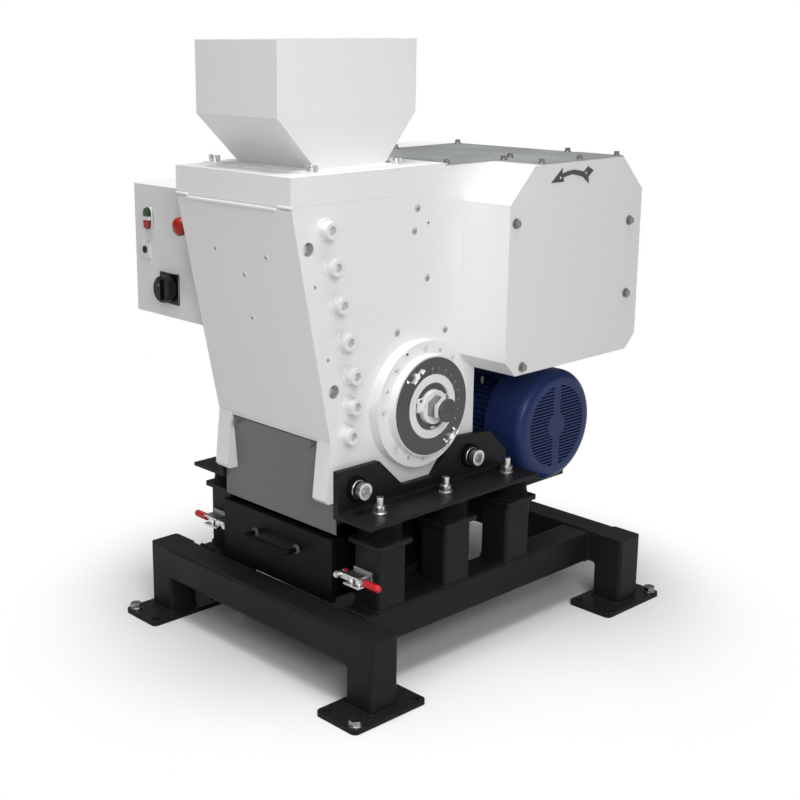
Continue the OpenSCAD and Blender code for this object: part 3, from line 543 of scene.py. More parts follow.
def geometry_tree(name, inputs):
    """A new tree, its given values, its outcome, and the sockets under which a modifier sets them."""
    tree = bpy.data.node_groups.new(name, "GeometryNodeTree")
    tree.interface.new_socket("Geometry", in_out="INPUT", socket_type="NodeSocketGeometry")
    sockets = {}
    for label, kind in inputs:
        sockets[label] = tree.interface.new_socket(label, in_out="INPUT", socket_type=kind)
    tree.interface.new_socket("Geometry", in_out="OUTPUT", socket_type="NodeSocketGeometry")
    given = add(tree, "NodeGroupInput").outputs
    return tree, given, add(tree, "NodeGroupOutput").inputs["Geometry"], sockets


def random_number(tree, low, high, seed):
    node = add(tree, "FunctionNodeRandomValue", data_type="FLOAT", Seed=seed)
    feed(tree, low, node.inputs[2])
    feed(tree, high, node.inputs[3])
    return node.outputs[1]


def painted(tree, instances, material, made):
    real = add(tree, "GeometryNodeRealizeInstances", Geometry=instances)
    paint = add(tree, "GeometryNodeSetMaterial", Geometry=real.outputs["Geometry"], Material=material)
    feed(tree, paint.outputs["Geometry"], made)


def bead_tree():
    tree, given, made, sockets = geometry_tree(
        "weld bead", [("Pitch", "NodeSocketFloat"), ("Radius", "NodeSocketFloat"),
                      ("Seed", "NodeSocketInt"), ("Material", "NodeSocketMaterial")])
    curve = add(tree, "GeometryNodeMeshToCurve", Mesh=given["Geometry"])
    spaced = add(tree, "GeometryNodeResampleCurve", mode="LENGTH", Curve=curve.outputs["Curve"],
                 Length=given["Pitch"])
    points = add(tree, "GeometryNodeCurveToPoints", mode="EVALUATED", Curve=spaced.outputs["Curve"])
    ball = add(tree, "GeometryNodeMeshIcoSphere", Subdivisions=BALL_SUBDIVISIONS, Radius=given["Radius"])
    place = add(tree, "GeometryNodeInstanceOnPoints", Points=points.outputs["Points"],
                Instance=ball.outputs["Mesh"],
                Scale=random_number(tree, RIPPLE_LOW, RIPPLE_HIGH, given["Seed"]))
    painted(tree, place.outputs["Instances"], given["Material"], made)
    return tree, sockets


def run_tree(name, base, tree, sockets, values, body):
    """Runs a node tree on a base mesh and keeps the result as one plain mesh on a body."""
    source = bpy.data.objects.new(name + " base", base)
    bpy.context.collection.objects.link(source)
    made = source.modifiers.new("tree", "NODES")
    made.node_group = tree
    for label, value in values.items():
        made[sockets[label].identifier] = value
    seen = source.evaluated_get(bpy.context.evaluated_depsgraph_get())
    mesh = bpy.data.meshes.new_from_object(seen)
    source.modifiers.remove(made)
    bpy.data.objects.remove(source)
    piece = bpy.data.objects.new(name, mesh)
    bpy.context.collection.objects.link(piece)
    mesh.shade_smooth()
    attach(piece, body)
    return piece


def edge_mesh(loops):
    """Loops are lists of places, each joined to the next in the list."""
    mesh = bpy.data.meshes.new("edges")
    spots, edges = [], []
    for loop in loops:
        first = len(spots)
        spots += [tuple(p) for p in loop]
        edges += [(first + i, first + i + 1) for i in range(len(loop) - 1)]
    mesh.from_pydata(spots, edges, [])
    return mesh


BEAD, BEAD_IN = bead_tree()
print("tree:", BEAD.name)

# %% [markdown]
# The seams are where the posts meet the rails, the rails meet the end beams, and the legs stand on
# their foot plates. A seam between two tubes stops short of their rounded corners.

# %% Weld the frame
TUBE = 0.075
FRAME_TOP = 0.167
FRAME_UNDER = FRAME_TOP - TUBE
RAIL_X = 0.240
POST_Y = (-0.2925, -0.095, 0.104)
POST_DEPTH = 0.080
LEG_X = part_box("end_beams")[1][0] - 0.058
LEG_Y = -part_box("end_beams")[0][1] - 0.101
FOOT_TOP = 0.010
BEAM_INNER = LEG_Y - TUBE / 2
CORNER = 0.007
CORNER_STEPS = 3
SHORT = 0.006
BEAD_PITCH = 0.0045
BEAD_RADIUS = 0.0038


def square_loop(x, y, z, wide, deep):
    """A closed seam round a tube with rounded corners."""
    spots = []
    for sx, sy, start in ((1, 1, 0), (-1, 1, 90), (-1, -1, 180), (1, -1, 270)):
        for k in range(CORNER_STEPS + 1):
            a = math.radians(start + 90 * k / CORNER_STEPS)
            spots.append((x + sx * (wide / 2 - CORNER) + CORNER * math.cos(a),
                          y + sy * (deep / 2 - CORNER) + CORNER * math.sin(a), z))
    return spots + spots[:1]


seams = []
for side in (-1, 1):
    for y in POST_Y:
        seams.append(square_loop(side * RAIL_X, y, FRAME_TOP, TUBE, POST_DEPTH))
    for end in (-1, 1):
        seams.append(square_loop(side * LEG_X, end * LEG_Y, FOOT_TOP, TUBE, TUBE))
        y = end * BEAM_INNER
        x0, x1 = side * RAIL_X - TUBE / 2, side * RAIL_X + TUBE / 2
        for x in (x0, x1):
            seams.append([(x, y, FRAME_UNDER + SHORT), (x, y, FRAME_TOP - SHORT)])
        for z in (FRAME_TOP, FRAME_UNDER):
            seams.append([(x0 + SHORT, y, z), (x1 - SHORT, y, z)])
for side in (-1, 1):
    for end in (-1, 1):
        x = side * (LEG_X - TUBE / 2)
        y = end * LEG_Y
        seams.append([(x, y - TUBE / 2 + SHORT, FRAME_UNDER), (x, y + TUBE / 2 - SHORT, FRAME_UNDER)])
beads = run_tree("frame_weld_beads", edge_mesh(seams), BEAD, BEAD_IN,
                 {"Pitch": BEAD_PITCH, "Radius": BEAD_RADIUS, "Seed": 3,
                  "Material": FINISHES["frame_black"]}, "machine")
print("seams:", len(seams), "faces:", len(beads.data.polygons))

# %% [markdown]
# ## Screw heads
#
# Panels are held by many equal screws. A node tree puts one head on every point of a base mesh: a
# slightly conical head and a thin dark six-sided disc on its top, painted shade where the recess
# would be, each turned a little differently about its axis. Rivets, plugs and studs are the same
# tree with other sizes.

# %% Screw head tree
HEAD_SIDES = 28
HEAD_TAPER = 0.86
RECESS_SIDES = 6
RECESS_DEPTH = 0.0004
LARGEST_TURN = 1.0


def screw_tree():
    tree, given, made, sockets = geometry_tree(
        "screw heads", [("Radius", "NodeSocketFloat"), ("Height", "NodeSocketFloat"),
                        ("Recess Radius", "NodeSocketFloat"), ("Facing", "NodeSocketVector"),
                        ("Seed", "NodeSocketInt"), ("Head", "NodeSocketMaterial"),
                        ("Recess", "NodeSocketMaterial")])
    top_radius = math_node(tree, "MULTIPLY", given["Radius"], HEAD_TAPER)
    head = add(tree, "GeometryNodeMeshCone", Vertices=HEAD_SIDES, Radius_Bottom=given["Radius"],
               Radius_Top=top_radius, Depth=given["Height"])
    recess = add(tree, "GeometryNodeMeshCylinder", Vertices=RECESS_SIDES, Depth=RECESS_DEPTH,
                 Radius=given["Recess Radius"])
    up = add(tree, "ShaderNodeCombineXYZ", Z=given["Height"])
    lifted = add(tree, "GeometryNodeTransform", Geometry=recess.outputs["Mesh"],
                 Translation=up.outputs["Vector"])
    both = add(tree, "GeometryNodeJoinGeometry")
    for label, shape in (("Head", head.outputs["Mesh"]), ("Recess", lifted.outputs["Geometry"])):
        paint = add(tree, "GeometryNodeSetMaterial", Geometry=shape, Material=given[label])
        feed(tree, paint.outputs["Geometry"], both.inputs["Geometry"])
    facing = add(tree, "FunctionNodeEulerToRotation", Euler=given["Facing"])
    points = add(tree, "GeometryNodeMeshToPoints", Mesh=given["Geometry"])
    place = add(tree, "GeometryNodeInstanceOnPoints", Points=points.outputs["Points"],
                Instance=both.outputs["Geometry"], Rotation=facing.outputs["Rotation"])
    about = add(tree, "ShaderNodeCombineXYZ",
                Z=random_number(tree, 0.0, LARGEST_TURN, given["Seed"]))
    turn = add(tree, "GeometryNodeRotateInstances", Instances=place.outputs["Instances"],
               Rotation=about.outputs["Vector"])
    real = add(tree, "GeometryNodeRealizeInstances", Geometry=turn.outputs["Instances"])
    feed(tree, real.outputs["Geometry"], made)
    return tree, sockets


SCREWS, SCREWS_IN = screw_tree()
# The recess is a thin dark disc on the head, painted shade instead of a hollow.
RECESS_SHADE = finish("painted recess shade", (0.05, 0.05, 0.05), 0.6)


def screws(name, places, facing, size, material, body, seed):
    """Screw heads on a body: size is the radius, the height and the radius of the recess."""
    radius, height, recess = size
    base = bpy.data.meshes.new(name)
    base.from_pydata([tuple(p) for p in places], [], [])
    return run_tree(name, base, SCREWS, SCREWS_IN,
                    {"Radius": radius, "Height": height, "Recess Radius": recess,
                     "Facing": facing, "Seed": seed, "Head": material, "Recess": RECESS_SHADE}, body)


print("tree:", SCREWS.name)

# %% [markdown]
# ## Front sheet
#
# The sloping front is one painted sheet from side plate to side plate. The solids show a seam there, so
# a thin sheet lies over them. It follows the slope of the side plates and has a softly rounded top
# edge.

# %% Lay the front sheet
SLOPE = 0.2096
FRONT_Y = -0.3757
FRONT_Z = 0.519
SHEET_HALF = 0.1811
SHEET_LOW = 0.520
SHEET_TOP = 0.9955
SHEET_OUT = 0.0024
SHEET_IN = -0.0012
SHEET_SECTION = ((SHEET_LOW, SHEET_IN), (SHEET_LOW, SHEET_OUT), (SHEET_TOP - 0.001, SHEET_OUT),
                 (SHEET_TOP, SHEET_OUT - 0.0008), (SHEET_TOP, SHEET_IN))


def on_front(x, z, out=0.0):
    return Vector((x, FRONT_Y - SLOPE * (z - FRONT_Z) - out, z))


def front_sheet():
    shape = bmesh.new()
    ends = []
    for side in (-1, 1):
        ends.append([shape.verts.new(on_front(side * SHEET_HALF, z, out)) for z, out in SHEET_SECTION])
    count = len(SHEET_SECTION)
    for k in range(count):
        after = (k + 1) % count
        shape.faces.new((ends[0][k], ends[0][after], ends[1][after], ends[1][k]))
    shape.faces.new(ends[0])
    shape.faces.new(list(reversed(ends[1])))
    return keep("front_plate", from_bmesh(shape), FINISHES["body_white"], "machine")


front_sheet()
print("front sheet width in metres:", 2 * SHEET_HALF)

# %% [markdown]
# The right side plate carries flush plugs, grey as painted shade of the countersinks they sit in, and
# the big socket screws of both side plates sit on raised collars. The plugs are screw heads of the
# tree, and the collars are turned. On the left, the solids have only the screws below the control
# box, so only those get a collar.

# %% Plugs and screw collars
FACE_RIGHT = (0, math.radians(90), 0)
CHEEK_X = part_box("right_side_plate")[1][0]
PLUGS = ((-0.136, 0.971), (-0.145, 0.925), (-0.104, 0.823), (-0.191, 0.718), (-0.046, 0.704))
PLUG_SIZE = (0.0080, 0.0004, 0.002)
# The plugs' grey is painted shade of the countersinks they sit in.
PLUG_SHADE_GREY = finish("plug countersink shade", (0.44, 0.44, 0.44), 0.5, edge=0.001)
SIDE_SCREWS = ((-0.394, 0.952), (-0.378, 0.878), (-0.361, 0.801), (-0.344, 0.724), (-0.326, 0.651),
               (-0.325, 0.588), (-0.335, 0.528))
LEFT_SCREWS_BELOW = 0.69
SCREW_COLLAR = [(0.0165, 0), (0.0222, 0), (0.0222, 0.0022), (0.0208, 0.0036), (0.0165, 0.0036)]
screws("cheek_plugs", [(CHEEK_X, y, z) for y, z in PLUGS], FACE_RIGHT, PLUG_SIZE, PLUG_SHADE_GREY,
       "machine", 5)
collars = 0
for number, (y, z) in enumerate(SIDE_SCREWS, 1):
    for side in (-1, 1):
        if side > 0 or z < LEFT_SCREWS_BELOW:
            turned(f"{side_word(side)}_screw_collar_{number}", SCREW_COLLAR, (side * CHEEK_X, y, z),
                   (side, 0, 0), SCREW_WHITE, "machine", steps=40)
            collars += 1
print("plugs:", len(PLUGS), "collars:", collars)

# %% [markdown]
# Each side plate has two large holes. A short grey ring at the outer end of each is painted shade on
# their walls. The last small screws are one beside the plugs and four in the front sheet.

# %% Hole linings and small screws
LIFTING_HOLES = ((-0.435, 0.917), (-0.368, 0.623))
# A grey ring of painted shade on the wall of each hole.
HOLE_SHADE_RING = tube_profile(0.0132, 0.01395, 0, 0.0190)
SHADE_RING_X = 0.1610
HOLE_SHADE = finish("hole shade", (0.45, 0.45, 0.45), 0.6)
FACE_FRONT = (math.radians(90) + math.atan(SLOPE), 0, 0)
HOLE_SCREW = (-0.104, 0.938)
HOLE_SCREW_SIZE = (0.0035, 0.0003, 0.0026)
FRONT_SCREWS = ((-0.0807, 0.892), (0.0807, 0.892), (0.001, 0.847), (0.0014, 0.756))
FRONT_SCREW_SIZE = (0.006, 0.0008, 0.0022)
for number, (y, z) in enumerate(LIFTING_HOLES, 1):
    for side in (-1, 1):
        turned(f"{side_word(side)}_hole_shade_ring_{number}", HOLE_SHADE_RING, (side * SHADE_RING_X, y, z),
               (side, 0, 0), HOLE_SHADE, "machine", steps=32)
screws("cheek_hole_screw", [(CHEEK_X, *HOLE_SCREW)], FACE_RIGHT, HOLE_SCREW_SIZE, SCREW_WHITE,
       "machine", 6)
screws("front_screws", [on_front(x, z, SHEET_OUT) for x, z in FRONT_SCREWS], FACE_FRONT,
       FRONT_SCREW_SIZE, SCREW_WHITE, "machine", 7)
print("lined holes:", 2 * len(LIFTING_HOLES), "front screws:", len(FRONT_SCREWS))

# %% [markdown]
# ## Dial
#
# The gap is read on a dark ring with pale strokes and numbers. The strokes are one small bar, put on
# an arc by a node tree that works out each bar's place from its index.

# %% Stroke tree
def stroke_tree():
    tree, given, made, sockets = geometry_tree(
        "dial strokes", [("Centre", "NodeSocketVector"), ("Count", "NodeSocketInt"),
                         ("First Angle", "NodeSocketFloat"), ("Step Angle", "NodeSocketFloat"),
                         ("Radius", "NodeSocketFloat"), ("Size", "NodeSocketVector"),
                         ("Material", "NodeSocketMaterial")])
    index = add(tree, "GeometryNodeInputIndex")
    step = math_node(tree, "MULTIPLY", index.outputs["Index"], given["Step Angle"])
    angle = math_node(tree, "ADD", step, given["First Angle"])
    over = math_node(tree, "MULTIPLY", math_node(tree, "COSINE", angle), given["Radius"])
    up = math_node(tree, "MULTIPLY", math_node(tree, "SINE", angle), given["Radius"])
    out = add(tree, "ShaderNodeCombineXYZ", Y=over, Z=up)
    spot = add(tree, "ShaderNodeVectorMath", operation="ADD")
    feed(tree, out.outputs["Vector"], spot.inputs[0])
    feed(tree, given["Centre"], spot.inputs[1])
    points = add(tree, "GeometryNodePoints", Count=given["Count"], Position=spot.outputs["Vector"])
    lean = add(tree, "ShaderNodeCombineXYZ", X=angle)
    turn = add(tree, "FunctionNodeEulerToRotation", Euler=lean.outputs["Vector"])
    bar = add(tree, "GeometryNodeMeshCube", Size=given["Size"])
    place = add(tree, "GeometryNodeInstanceOnPoints", Points=points.outputs[0],
                Instance=bar.outputs["Mesh"], Rotation=turn.outputs["Rotation"])
    painted(tree, place.outputs["Instances"], given["Material"], made)
    return tree, sockets


STROKES, STROKES_IN = stroke_tree()
print("tree:", STROKES.name)

# %% [markdown]
# The numbers run round the ring with their feet to its centre. Text makes them: each figure is turned
# to a flat mesh first, and only then laid in its place. The ring has long strokes at the numbers and
# finer ones between, which are two runs of the same tree.

# %% Mark the dial
DIAL_Y, DIAL_Z = box_middle("dial_ring")[1:]
BOSS_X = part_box("dial_ring")[0][0]
RING_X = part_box("dial_ring")[1][0]
MARK_WHITE = finish("dial marks", (0.42, 0.42, 0.42), 0.5)
MARK_LIFT = 0.0001
NUMBERS = range(8, -1, -1)
FIRST_ANGLE = 91
NUMBER_STEP = 15
NUMBER_RADIUS = 0.081
NUMBER_SIZE = 0.0085
FINE_PARTS = 5
STROKE_ROWS = (
    ("dial_strokes", len(NUMBERS), NUMBER_STEP, 0.0722, (0.0003, 0.0045, 0.0009)),
    ("dial_fine_strokes", FINE_PARTS * (len(NUMBERS) - 1) + 1, NUMBER_STEP / FINE_PARTS, 0.0712,
     (0.0003, 0.0024, 0.0005)))


def round_dial(radius, degrees, x):
    a = math.radians(degrees)
    return Vector((x, DIAL_Y + radius * math.cos(a), DIAL_Z + radius * math.sin(a)))


def figures(name, words, size, material, body):
    """Words are (text, centre, right, up): each is laid flat, facing right x up."""
    shape = bmesh.new()
    for text, centre, right_way, up_way in words:
        curve = bpy.data.curves.new("figure", "FONT")
        curve.body = text
        curve.size = size
        curve.align_x = "CENTER"
        curve.align_y = "CENTER"
        source = bpy.data.objects.new("figure", curve)
        bpy.context.collection.objects.link(source)
        seen = source.evaluated_get(bpy.context.evaluated_depsgraph_get())
        flat = bpy.data.meshes.new_from_object(seen)
        out_way = right_way.cross(up_way)
        place = Matrix((right_way, up_way, out_way)).transposed().to_4x4()
        flat.transform(Matrix.Translation(centre) @ place)
        shape.from_mesh(flat)
        bpy.data.objects.remove(source)
    mesh = bpy.data.meshes.new(name)
    shape.to_mesh(mesh)
    shape.free()
    return keep(name, mesh, material, body)


words = []
for place, number in enumerate(NUMBERS):
    degrees = FIRST_ANGLE - NUMBER_STEP * place
    a = math.radians(degrees)
    words.append((str(number), round_dial(NUMBER_RADIUS, degrees, RING_X + 2 * MARK_LIFT),
                  Vector((0, math.sin(a), -math.cos(a))), Vector((0, math.cos(a), math.sin(a)))))
figures("dial_numbers", words, NUMBER_SIZE, MARK_WHITE, "machine")
for name, count, step, radius, size in STROKE_ROWS:
    run_tree(name, bpy.data.meshes.new(name), STROKES, STROKES_IN,
             {"Centre": (RING_X + MARK_LIFT, DIAL_Y, DIAL_Z), "Count": count,
              "First Angle": math.radians(FIRST_ANGLE), "Step Angle": -math.radians(step),
              "Radius": radius, "Size": size, "Material": MARK_WHITE}, "machine")
print("dial numbers:", len(words))

# %% [markdown]
# Inside the ring, a second dark ring lies round the pointer hub, with two small bright blocks on it.
# The hub carries a white tab with its screw, a six-sided lock nut and a dark cap with two pin holes.
# These turn with the shaft, so they ride on its body. Six steps make a turned piece a hexagon.

# %% Fit the middle of the dial
RIGHT = (1, 0, 0)
DARK = FINISHES["dial_dark"]
RING_INNER = 0.0368
RING_OUTER = 0.0505
RING_THICK = 0.0006
STOP_ANGLES = (("upper", 24), ("lower", -89))
STOP_RADIUS = 0.0455
STOP_HALF_Y = 0.006
STOP_HALF_Z = 0.002
STOP_THICK = 0.003
SHAFT_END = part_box("gap_shaft")[1][0]
NUT_X = SHAFT_END - 0.0150
LOCK_NUT = [(0.0125, 0), (0.0243, 0), (0.0258, 0.0008), (0.0258, 0.0136), (0.0240, 0.0144),
            (0.0125, 0.0144)]
CAP_RADIUS = 0.0252
CAP_THICK = 0.0046
CAP_EDGE = 0.0010
END_CAP = [(0, -0.0004), (CAP_RADIUS, -0.0004), (CAP_RADIUS, CAP_THICK - CAP_EDGE),
           (CAP_RADIUS - CAP_EDGE, CAP_THICK), (0, CAP_THICK)]
PIN_HOLES = ((-0.009, 0.001), (0.009, -0.001))
PIN_HOLE_SIZE = (0.0030, 0.0002, 0.0026)
TAB_FACE = BOSS_X + 0.0085
TAB_THICK = 0.004
TAB_SCREW_SIZE = (0.0034, 0.0004, 0.0026)
FLANGE_PLUG_SIZE = (0.0058, 0.0009, 0.0034)
STUDS = ((0.0903, -42.5), (0.0895, -64.3), (0.0993, 139.0))
STUD_SIZE = (0.0034, 0.0022, 0.0006)

disc("inner_dial_ring", (BOSS_X, DIAL_Y, DIAL_Z), RIGHT, RING_OUTER, RING_THICK, DARK, "machine",
     inner=RING_INNER)
for word, angle in STOP_ANGLES:
    spot = round_dial(STOP_RADIUS, angle, BOSS_X + RING_THICK)
    block("dial_stop_" + word, spot - Vector((0, STOP_HALF_Y, STOP_HALF_Z)),
          spot + Vector((STOP_THICK, STOP_HALF_Y, STOP_HALF_Z)), FINISHES["zinc_steel"], "machine",
          soft=0.0006)
turned("lock_nut", LOCK_NUT, (NUT_X, DIAL_Y, DIAL_Z), RIGHT, BRIGHT_STEEL, "gap_dial", steps=6)
turned("bolt_end_cap", END_CAP, (SHAFT_END, DIAL_Y, DIAL_Z), RIGHT, DARK, "gap_dial")
block("pointer_tab", (TAB_FACE - TAB_THICK, DIAL_Y - 0.0485, DIAL_Z - 0.004),
      (TAB_FACE, DIAL_Y - 0.0315, DIAL_Z + 0.025), FINISHES["body_white"], "gap_dial", soft=0.0012)
screws("bolt_end_pin_holes", [(SHAFT_END + CAP_THICK + MARK_LIFT, DIAL_Y + y, DIAL_Z + z)
                              for y, z in PIN_HOLES],
       FACE_RIGHT, PIN_HOLE_SIZE, DARK, "gap_dial", 8)
screws("pointer_tab_screw", [(TAB_FACE, DIAL_Y - 0.0398, DIAL_Z + 0.0195)], FACE_RIGHT, TAB_SCREW_SIZE,
       DARK, "gap_dial", 10)
screws("flange_plug", [round_dial(0.1285, 115, BOSS_X - 0.020)], FACE_RIGHT, FLANGE_PLUG_SIZE,
       SCREW_WHITE, "machine", 9)
screws("dial_studs", [round_dial(radius, angle, RING_X) for radius, angle in STUDS], FACE_RIGHT,
       STUD_SIZE, BRIGHT_STEEL, "machine", 13)
print("shaft end at x:", round(SHAFT_END, 4))

# %% [markdown]
# ## Arrow plate
#
# A dark arrow on the flywheel guard shows which way the wheel turns. It is a flat sheet held by two
# rivets, so it is drawn as an outline in the plane of the guard and given a thickness.

# %% Arrow plate
GUARD_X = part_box("right_guard")[1][0]
ARROW = ((0.131, 1.012), (0.168, 1.041), (0.167, 1.029), (0.184, 1.033), (0.208, 1.035),
         (0.241, 1.029), (0.255, 1.039), (0.275, 1.029), (0.257, 1.017), (0.260, 1.002),
         (0.237, 1.018), (0.202, 1.026), (0.170, 1.021), (0.174, 1.012))
ARROW_THICK = 0.0012
RIVETS = ((0.161, 1.021), (0.248, 1.025))
RIVET_SIZE = (0.0028, 0.001, 0.0009)


def on_guard(y, z, out):
    return Vector((GUARD_X + out, y, z))


flat_plate("turning_arrow", ARROW, on_guard, ARROW_THICK, DARK, "machine")
screws("arrow_rivets", [on_guard(y, z, ARROW_THICK - 0.0001) for y, z in RIVETS], FACE_RIGHT,
       RIVET_SIZE, FINISHES["zinc_steel"], "machine", 11)
print("arrow points:", len(ARROW))

# %% [markdown]
# ## Push buttons
#
# Start and stop share one oblong insert: a bright rim, a pale bed and a dark frame, stacked outwards
# from the door, with a small square lamp between the caps. Rim, bed and frame are capsules, and the
# caps are ends of one. The green cap rides on the start button and the red cap on the stop button,
# high enough to clear the frame when they are pressed.

# %% Push buttons
DOOR_Y = -0.400
BUTTON_X = -0.391
BUTTON_Z = 0.919
ARC_STEPS = 14
LAYERS = (("button_rim", 0.0146, 0.0277, 0.0002, 0.0046, "zinc_steel"),
          ("button_bed", 0.0132, 0.0263, 0.0046, 0.0018, "box_white"),
          ("button_frame", 0.0116, 0.0247, 0.0062, 0.0006, "dial_dark"))
LAMP_X, LAMP_Z = 0.0108, 0.0042
LAMP = [(LAMP_X, -LAMP_Z), (LAMP_X, LAMP_Z), (-LAMP_X, LAMP_Z), (-LAMP_X, -LAMP_Z)]
CAP_HALF = 0.0104
CAP_FROM, CAP_TO = 0.0048, 0.0236
CAP_OUT = 0.0101
CAP_THIN = 0.0022


def capsule(half_wide, low, high, round_low=True, round_high=True):
    """Outline of an upright capsule, or of one end of it, centred on the two push buttons."""
    arc = [(half_wide * math.cos(math.pi * k / ARC_STEPS), half_wide * math.sin(math.pi * k / ARC_STEPS))
           for k in range(ARC_STEPS + 1)]
    top = [(half_wide, high), (-half_wide, high)]
    if round_high:
        top = [(x, high - half_wide + z) for x, z in arc]
    bottom = [(-half_wide, low), (half_wide, low)]
    if round_low:
        bottom = [(-x, low + half_wide - z) for x, z in arc]
    return top + bottom


def door_plate(name, outline, start, thick, slot, body="door"):
    """A flat piece on the button insert, from start to start + thick out of the door."""
    flat_plate(name, outline,
               lambda x, z, out: Vector((BUTTON_X + x, DOOR_Y - (start + out), BUTTON_Z + z)),
               thick, FINISHES[slot], body)


for name, half_wide, half_high, start, thick, slot in LAYERS:
    door_plate(name, capsule(half_wide, -half_high, half_high), start, thick, slot)
door_plate("button_lamp", LAMP, 0.0066, 0.0050, "box_white")
door_plate("green_cap", capsule(CAP_HALF, CAP_FROM, CAP_TO, round_low=False), CAP_OUT, CAP_THIN,
           "start_green", "start")
door_plate("red_cap", capsule(CAP_HALF, -CAP_TO, -CAP_FROM, round_high=False), CAP_OUT, CAP_THIN,
           "stop_red", "stop")
print("layers under the caps:", len(LAYERS))

# %% [markdown]
# ## Emergency stop and switches
#
# The emergency stop has a domed top, so its profile ends in a quarter arc. The main switch is a round
# knob on a square black plate with a pale dot that shows where it points, and the key switch has a thin
# bright rim. Knob and dot ride on the main switch.

# %% Emergency stop and switches
OUT_OF_DOOR = (0, -1, 0)
STOP_X, _, STOP_Z = box_middle("estop_button")
STOP_LOW, STOP_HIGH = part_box("estop_button")
STOP_HALF = (STOP_HIGH[0] - STOP_LOW[0]) / 2 + 0.0003
DOME_START = 0.0010
DOME_RISE = 0.0125
DOME_STEPS = 10
SWITCH_X, SWITCH_Z = -0.321, 0.769
PLATE_HALF = 0.0353
PLATE_OUT = 0.0043
KNOB_RADIUS = 0.031
KNOB = [(0.0, 0.0), (KNOB_RADIUS - 0.0015, 0.0), (KNOB_RADIUS, 0.0015), (KNOB_RADIUS - 0.0012, 0.0205),
        (KNOB_RADIUS - 0.0040, 0.0232), (0.0, 0.0232)]
KEY_Z = 0.846

dome = [(0, -0.0060), (STOP_HALF - 0.003, -0.0060), (STOP_HALF, -0.0035), (STOP_HALF, DOME_START)]
for k in range(1, DOME_STEPS):
    a = math.radians(90 * k / DOME_STEPS)
    dome.append((STOP_HALF * math.cos(a), DOME_START + DOME_RISE * math.sin(a)))
dome.append((0, DOME_START + DOME_RISE))
turned("estop_dome", dome, (STOP_X, STOP_LOW[1], STOP_Z), OUT_OF_DOOR, FINISHES["stop_red"], "estop")
block("switch_plate", (SWITCH_X - PLATE_HALF, DOOR_Y - PLATE_OUT, SWITCH_Z - PLATE_HALF),
      (SWITCH_X + PLATE_HALF, DOOR_Y - 0.0001, SWITCH_Z + PLATE_HALF), FINISHES["fan_black"], "door",
      soft=0.0015)
turned("switch_knob", KNOB, (SWITCH_X, DOOR_Y - PLATE_OUT - 0.0005, SWITCH_Z), OUT_OF_DOOR,
       FINISHES["fan_black"], "mains")
disc("switch_dot", (SWITCH_X + 0.001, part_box("main_switch")[0][1] + 0.0001, SWITCH_Z + 0.012),
     OUT_OF_DOOR, 0.0021, 0.0003, MARK_WHITE, "mains")
disc("key_hole_rim", (BUTTON_X - 0.020, DOOR_Y - 0.0028, KEY_Z), OUT_OF_DOOR, 0.0078, 0.0010,
     FINISHES["zinc_steel"], "door", inner=0.0070)
print("emergency stop diameter in mm:", round(2000 * STOP_HALF, 1))

# %% [markdown]
# ## Clamp trim
#
# Each toggle clamp has a round hub and a bar under its red grip, and a red rubber tip with a nut on its
# arm. They are turned pieces. Hub and bar ride on the lever, tip and nut on the arm, so a clamp opens
# as the real one does.

# %% Clamp trim
CHROME = FINISHES["zinc_steel"]
HUB_RADIUS = 0.0075
HUB_TALL = 0.0154
LEVER_HUB = [(0.0035, 0), (0.0078, 0), (0.0082, 0.0004), (0.0082, 0.0150), (0.0078, HUB_TALL),
             (0.0035, HUB_TALL)]
LEVER_BAR = tube_profile(0, 0.0044, 0, 0.0110)
ARM_TIP = [(0, 0), (0.0069, 0), (0.0073, 0.0004), (0.0073, 0.0050), (0.0066, 0.0058), (0, 0.0058)]
ARM_NUT = tube_profile(0, 0.0078, 0, 0.005)


def inner_end(name):
    """Where a clamp part ends towards the middle of the machine."""
    low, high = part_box(name)
    return min(abs(low[0]), abs(high[0]))


for side in (-1, 1):
    word = side_word(side)
    arm, lever = word + "_arm", word + "_lever"
    clamp_y, clamp_z = box_middle(word + "_clamp_handle")[1:]
    hub_x = side * (inner_end(word + "_clamp_handle") + HUB_RADIUS)
    tip_x = side * (inner_end(word + "_clamp_arm") + 0.0068)
    tip_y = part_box(word + "_clamp_arm")[1][1] - 0.0056
    turned(word + "_lever_hub", LEVER_HUB, (hub_x, clamp_y, clamp_z - HUB_TALL / 2), (0, 0, 1), CHROME,
           lever)
    turned(word + "_lever_bar", LEVER_BAR, (hub_x + side * 0.0068, clamp_y, clamp_z), (side, 0, 0),
           CHROME, lever, steps=24)
    turned(word + "_arm_tip", ARM_TIP, (tip_x, tip_y, clamp_z), (0, 1, 0), FINISHES["grip_red"], arm,
           steps=28)
    turned(word + "_arm_nut", ARM_NUT, (tip_x, clamp_y - 0.0105, clamp_z), (0, 1, 0), CHROME, arm,
           steps=6)
print("clamp height in metres:", round(clamp_z, 3))

# %% [markdown]
# ## Motor cowl
#
# The fan cowl is a pressed bowl with a round grille of horizontal slats. The photograph shows it a
# little longer than the solid, with a big rounded edge, so a turned shell lies over the solid. The
# slats are bars cut to the grille's circle, a wide rib crosses them, and a dark disc behind stands for
# the shade inside.

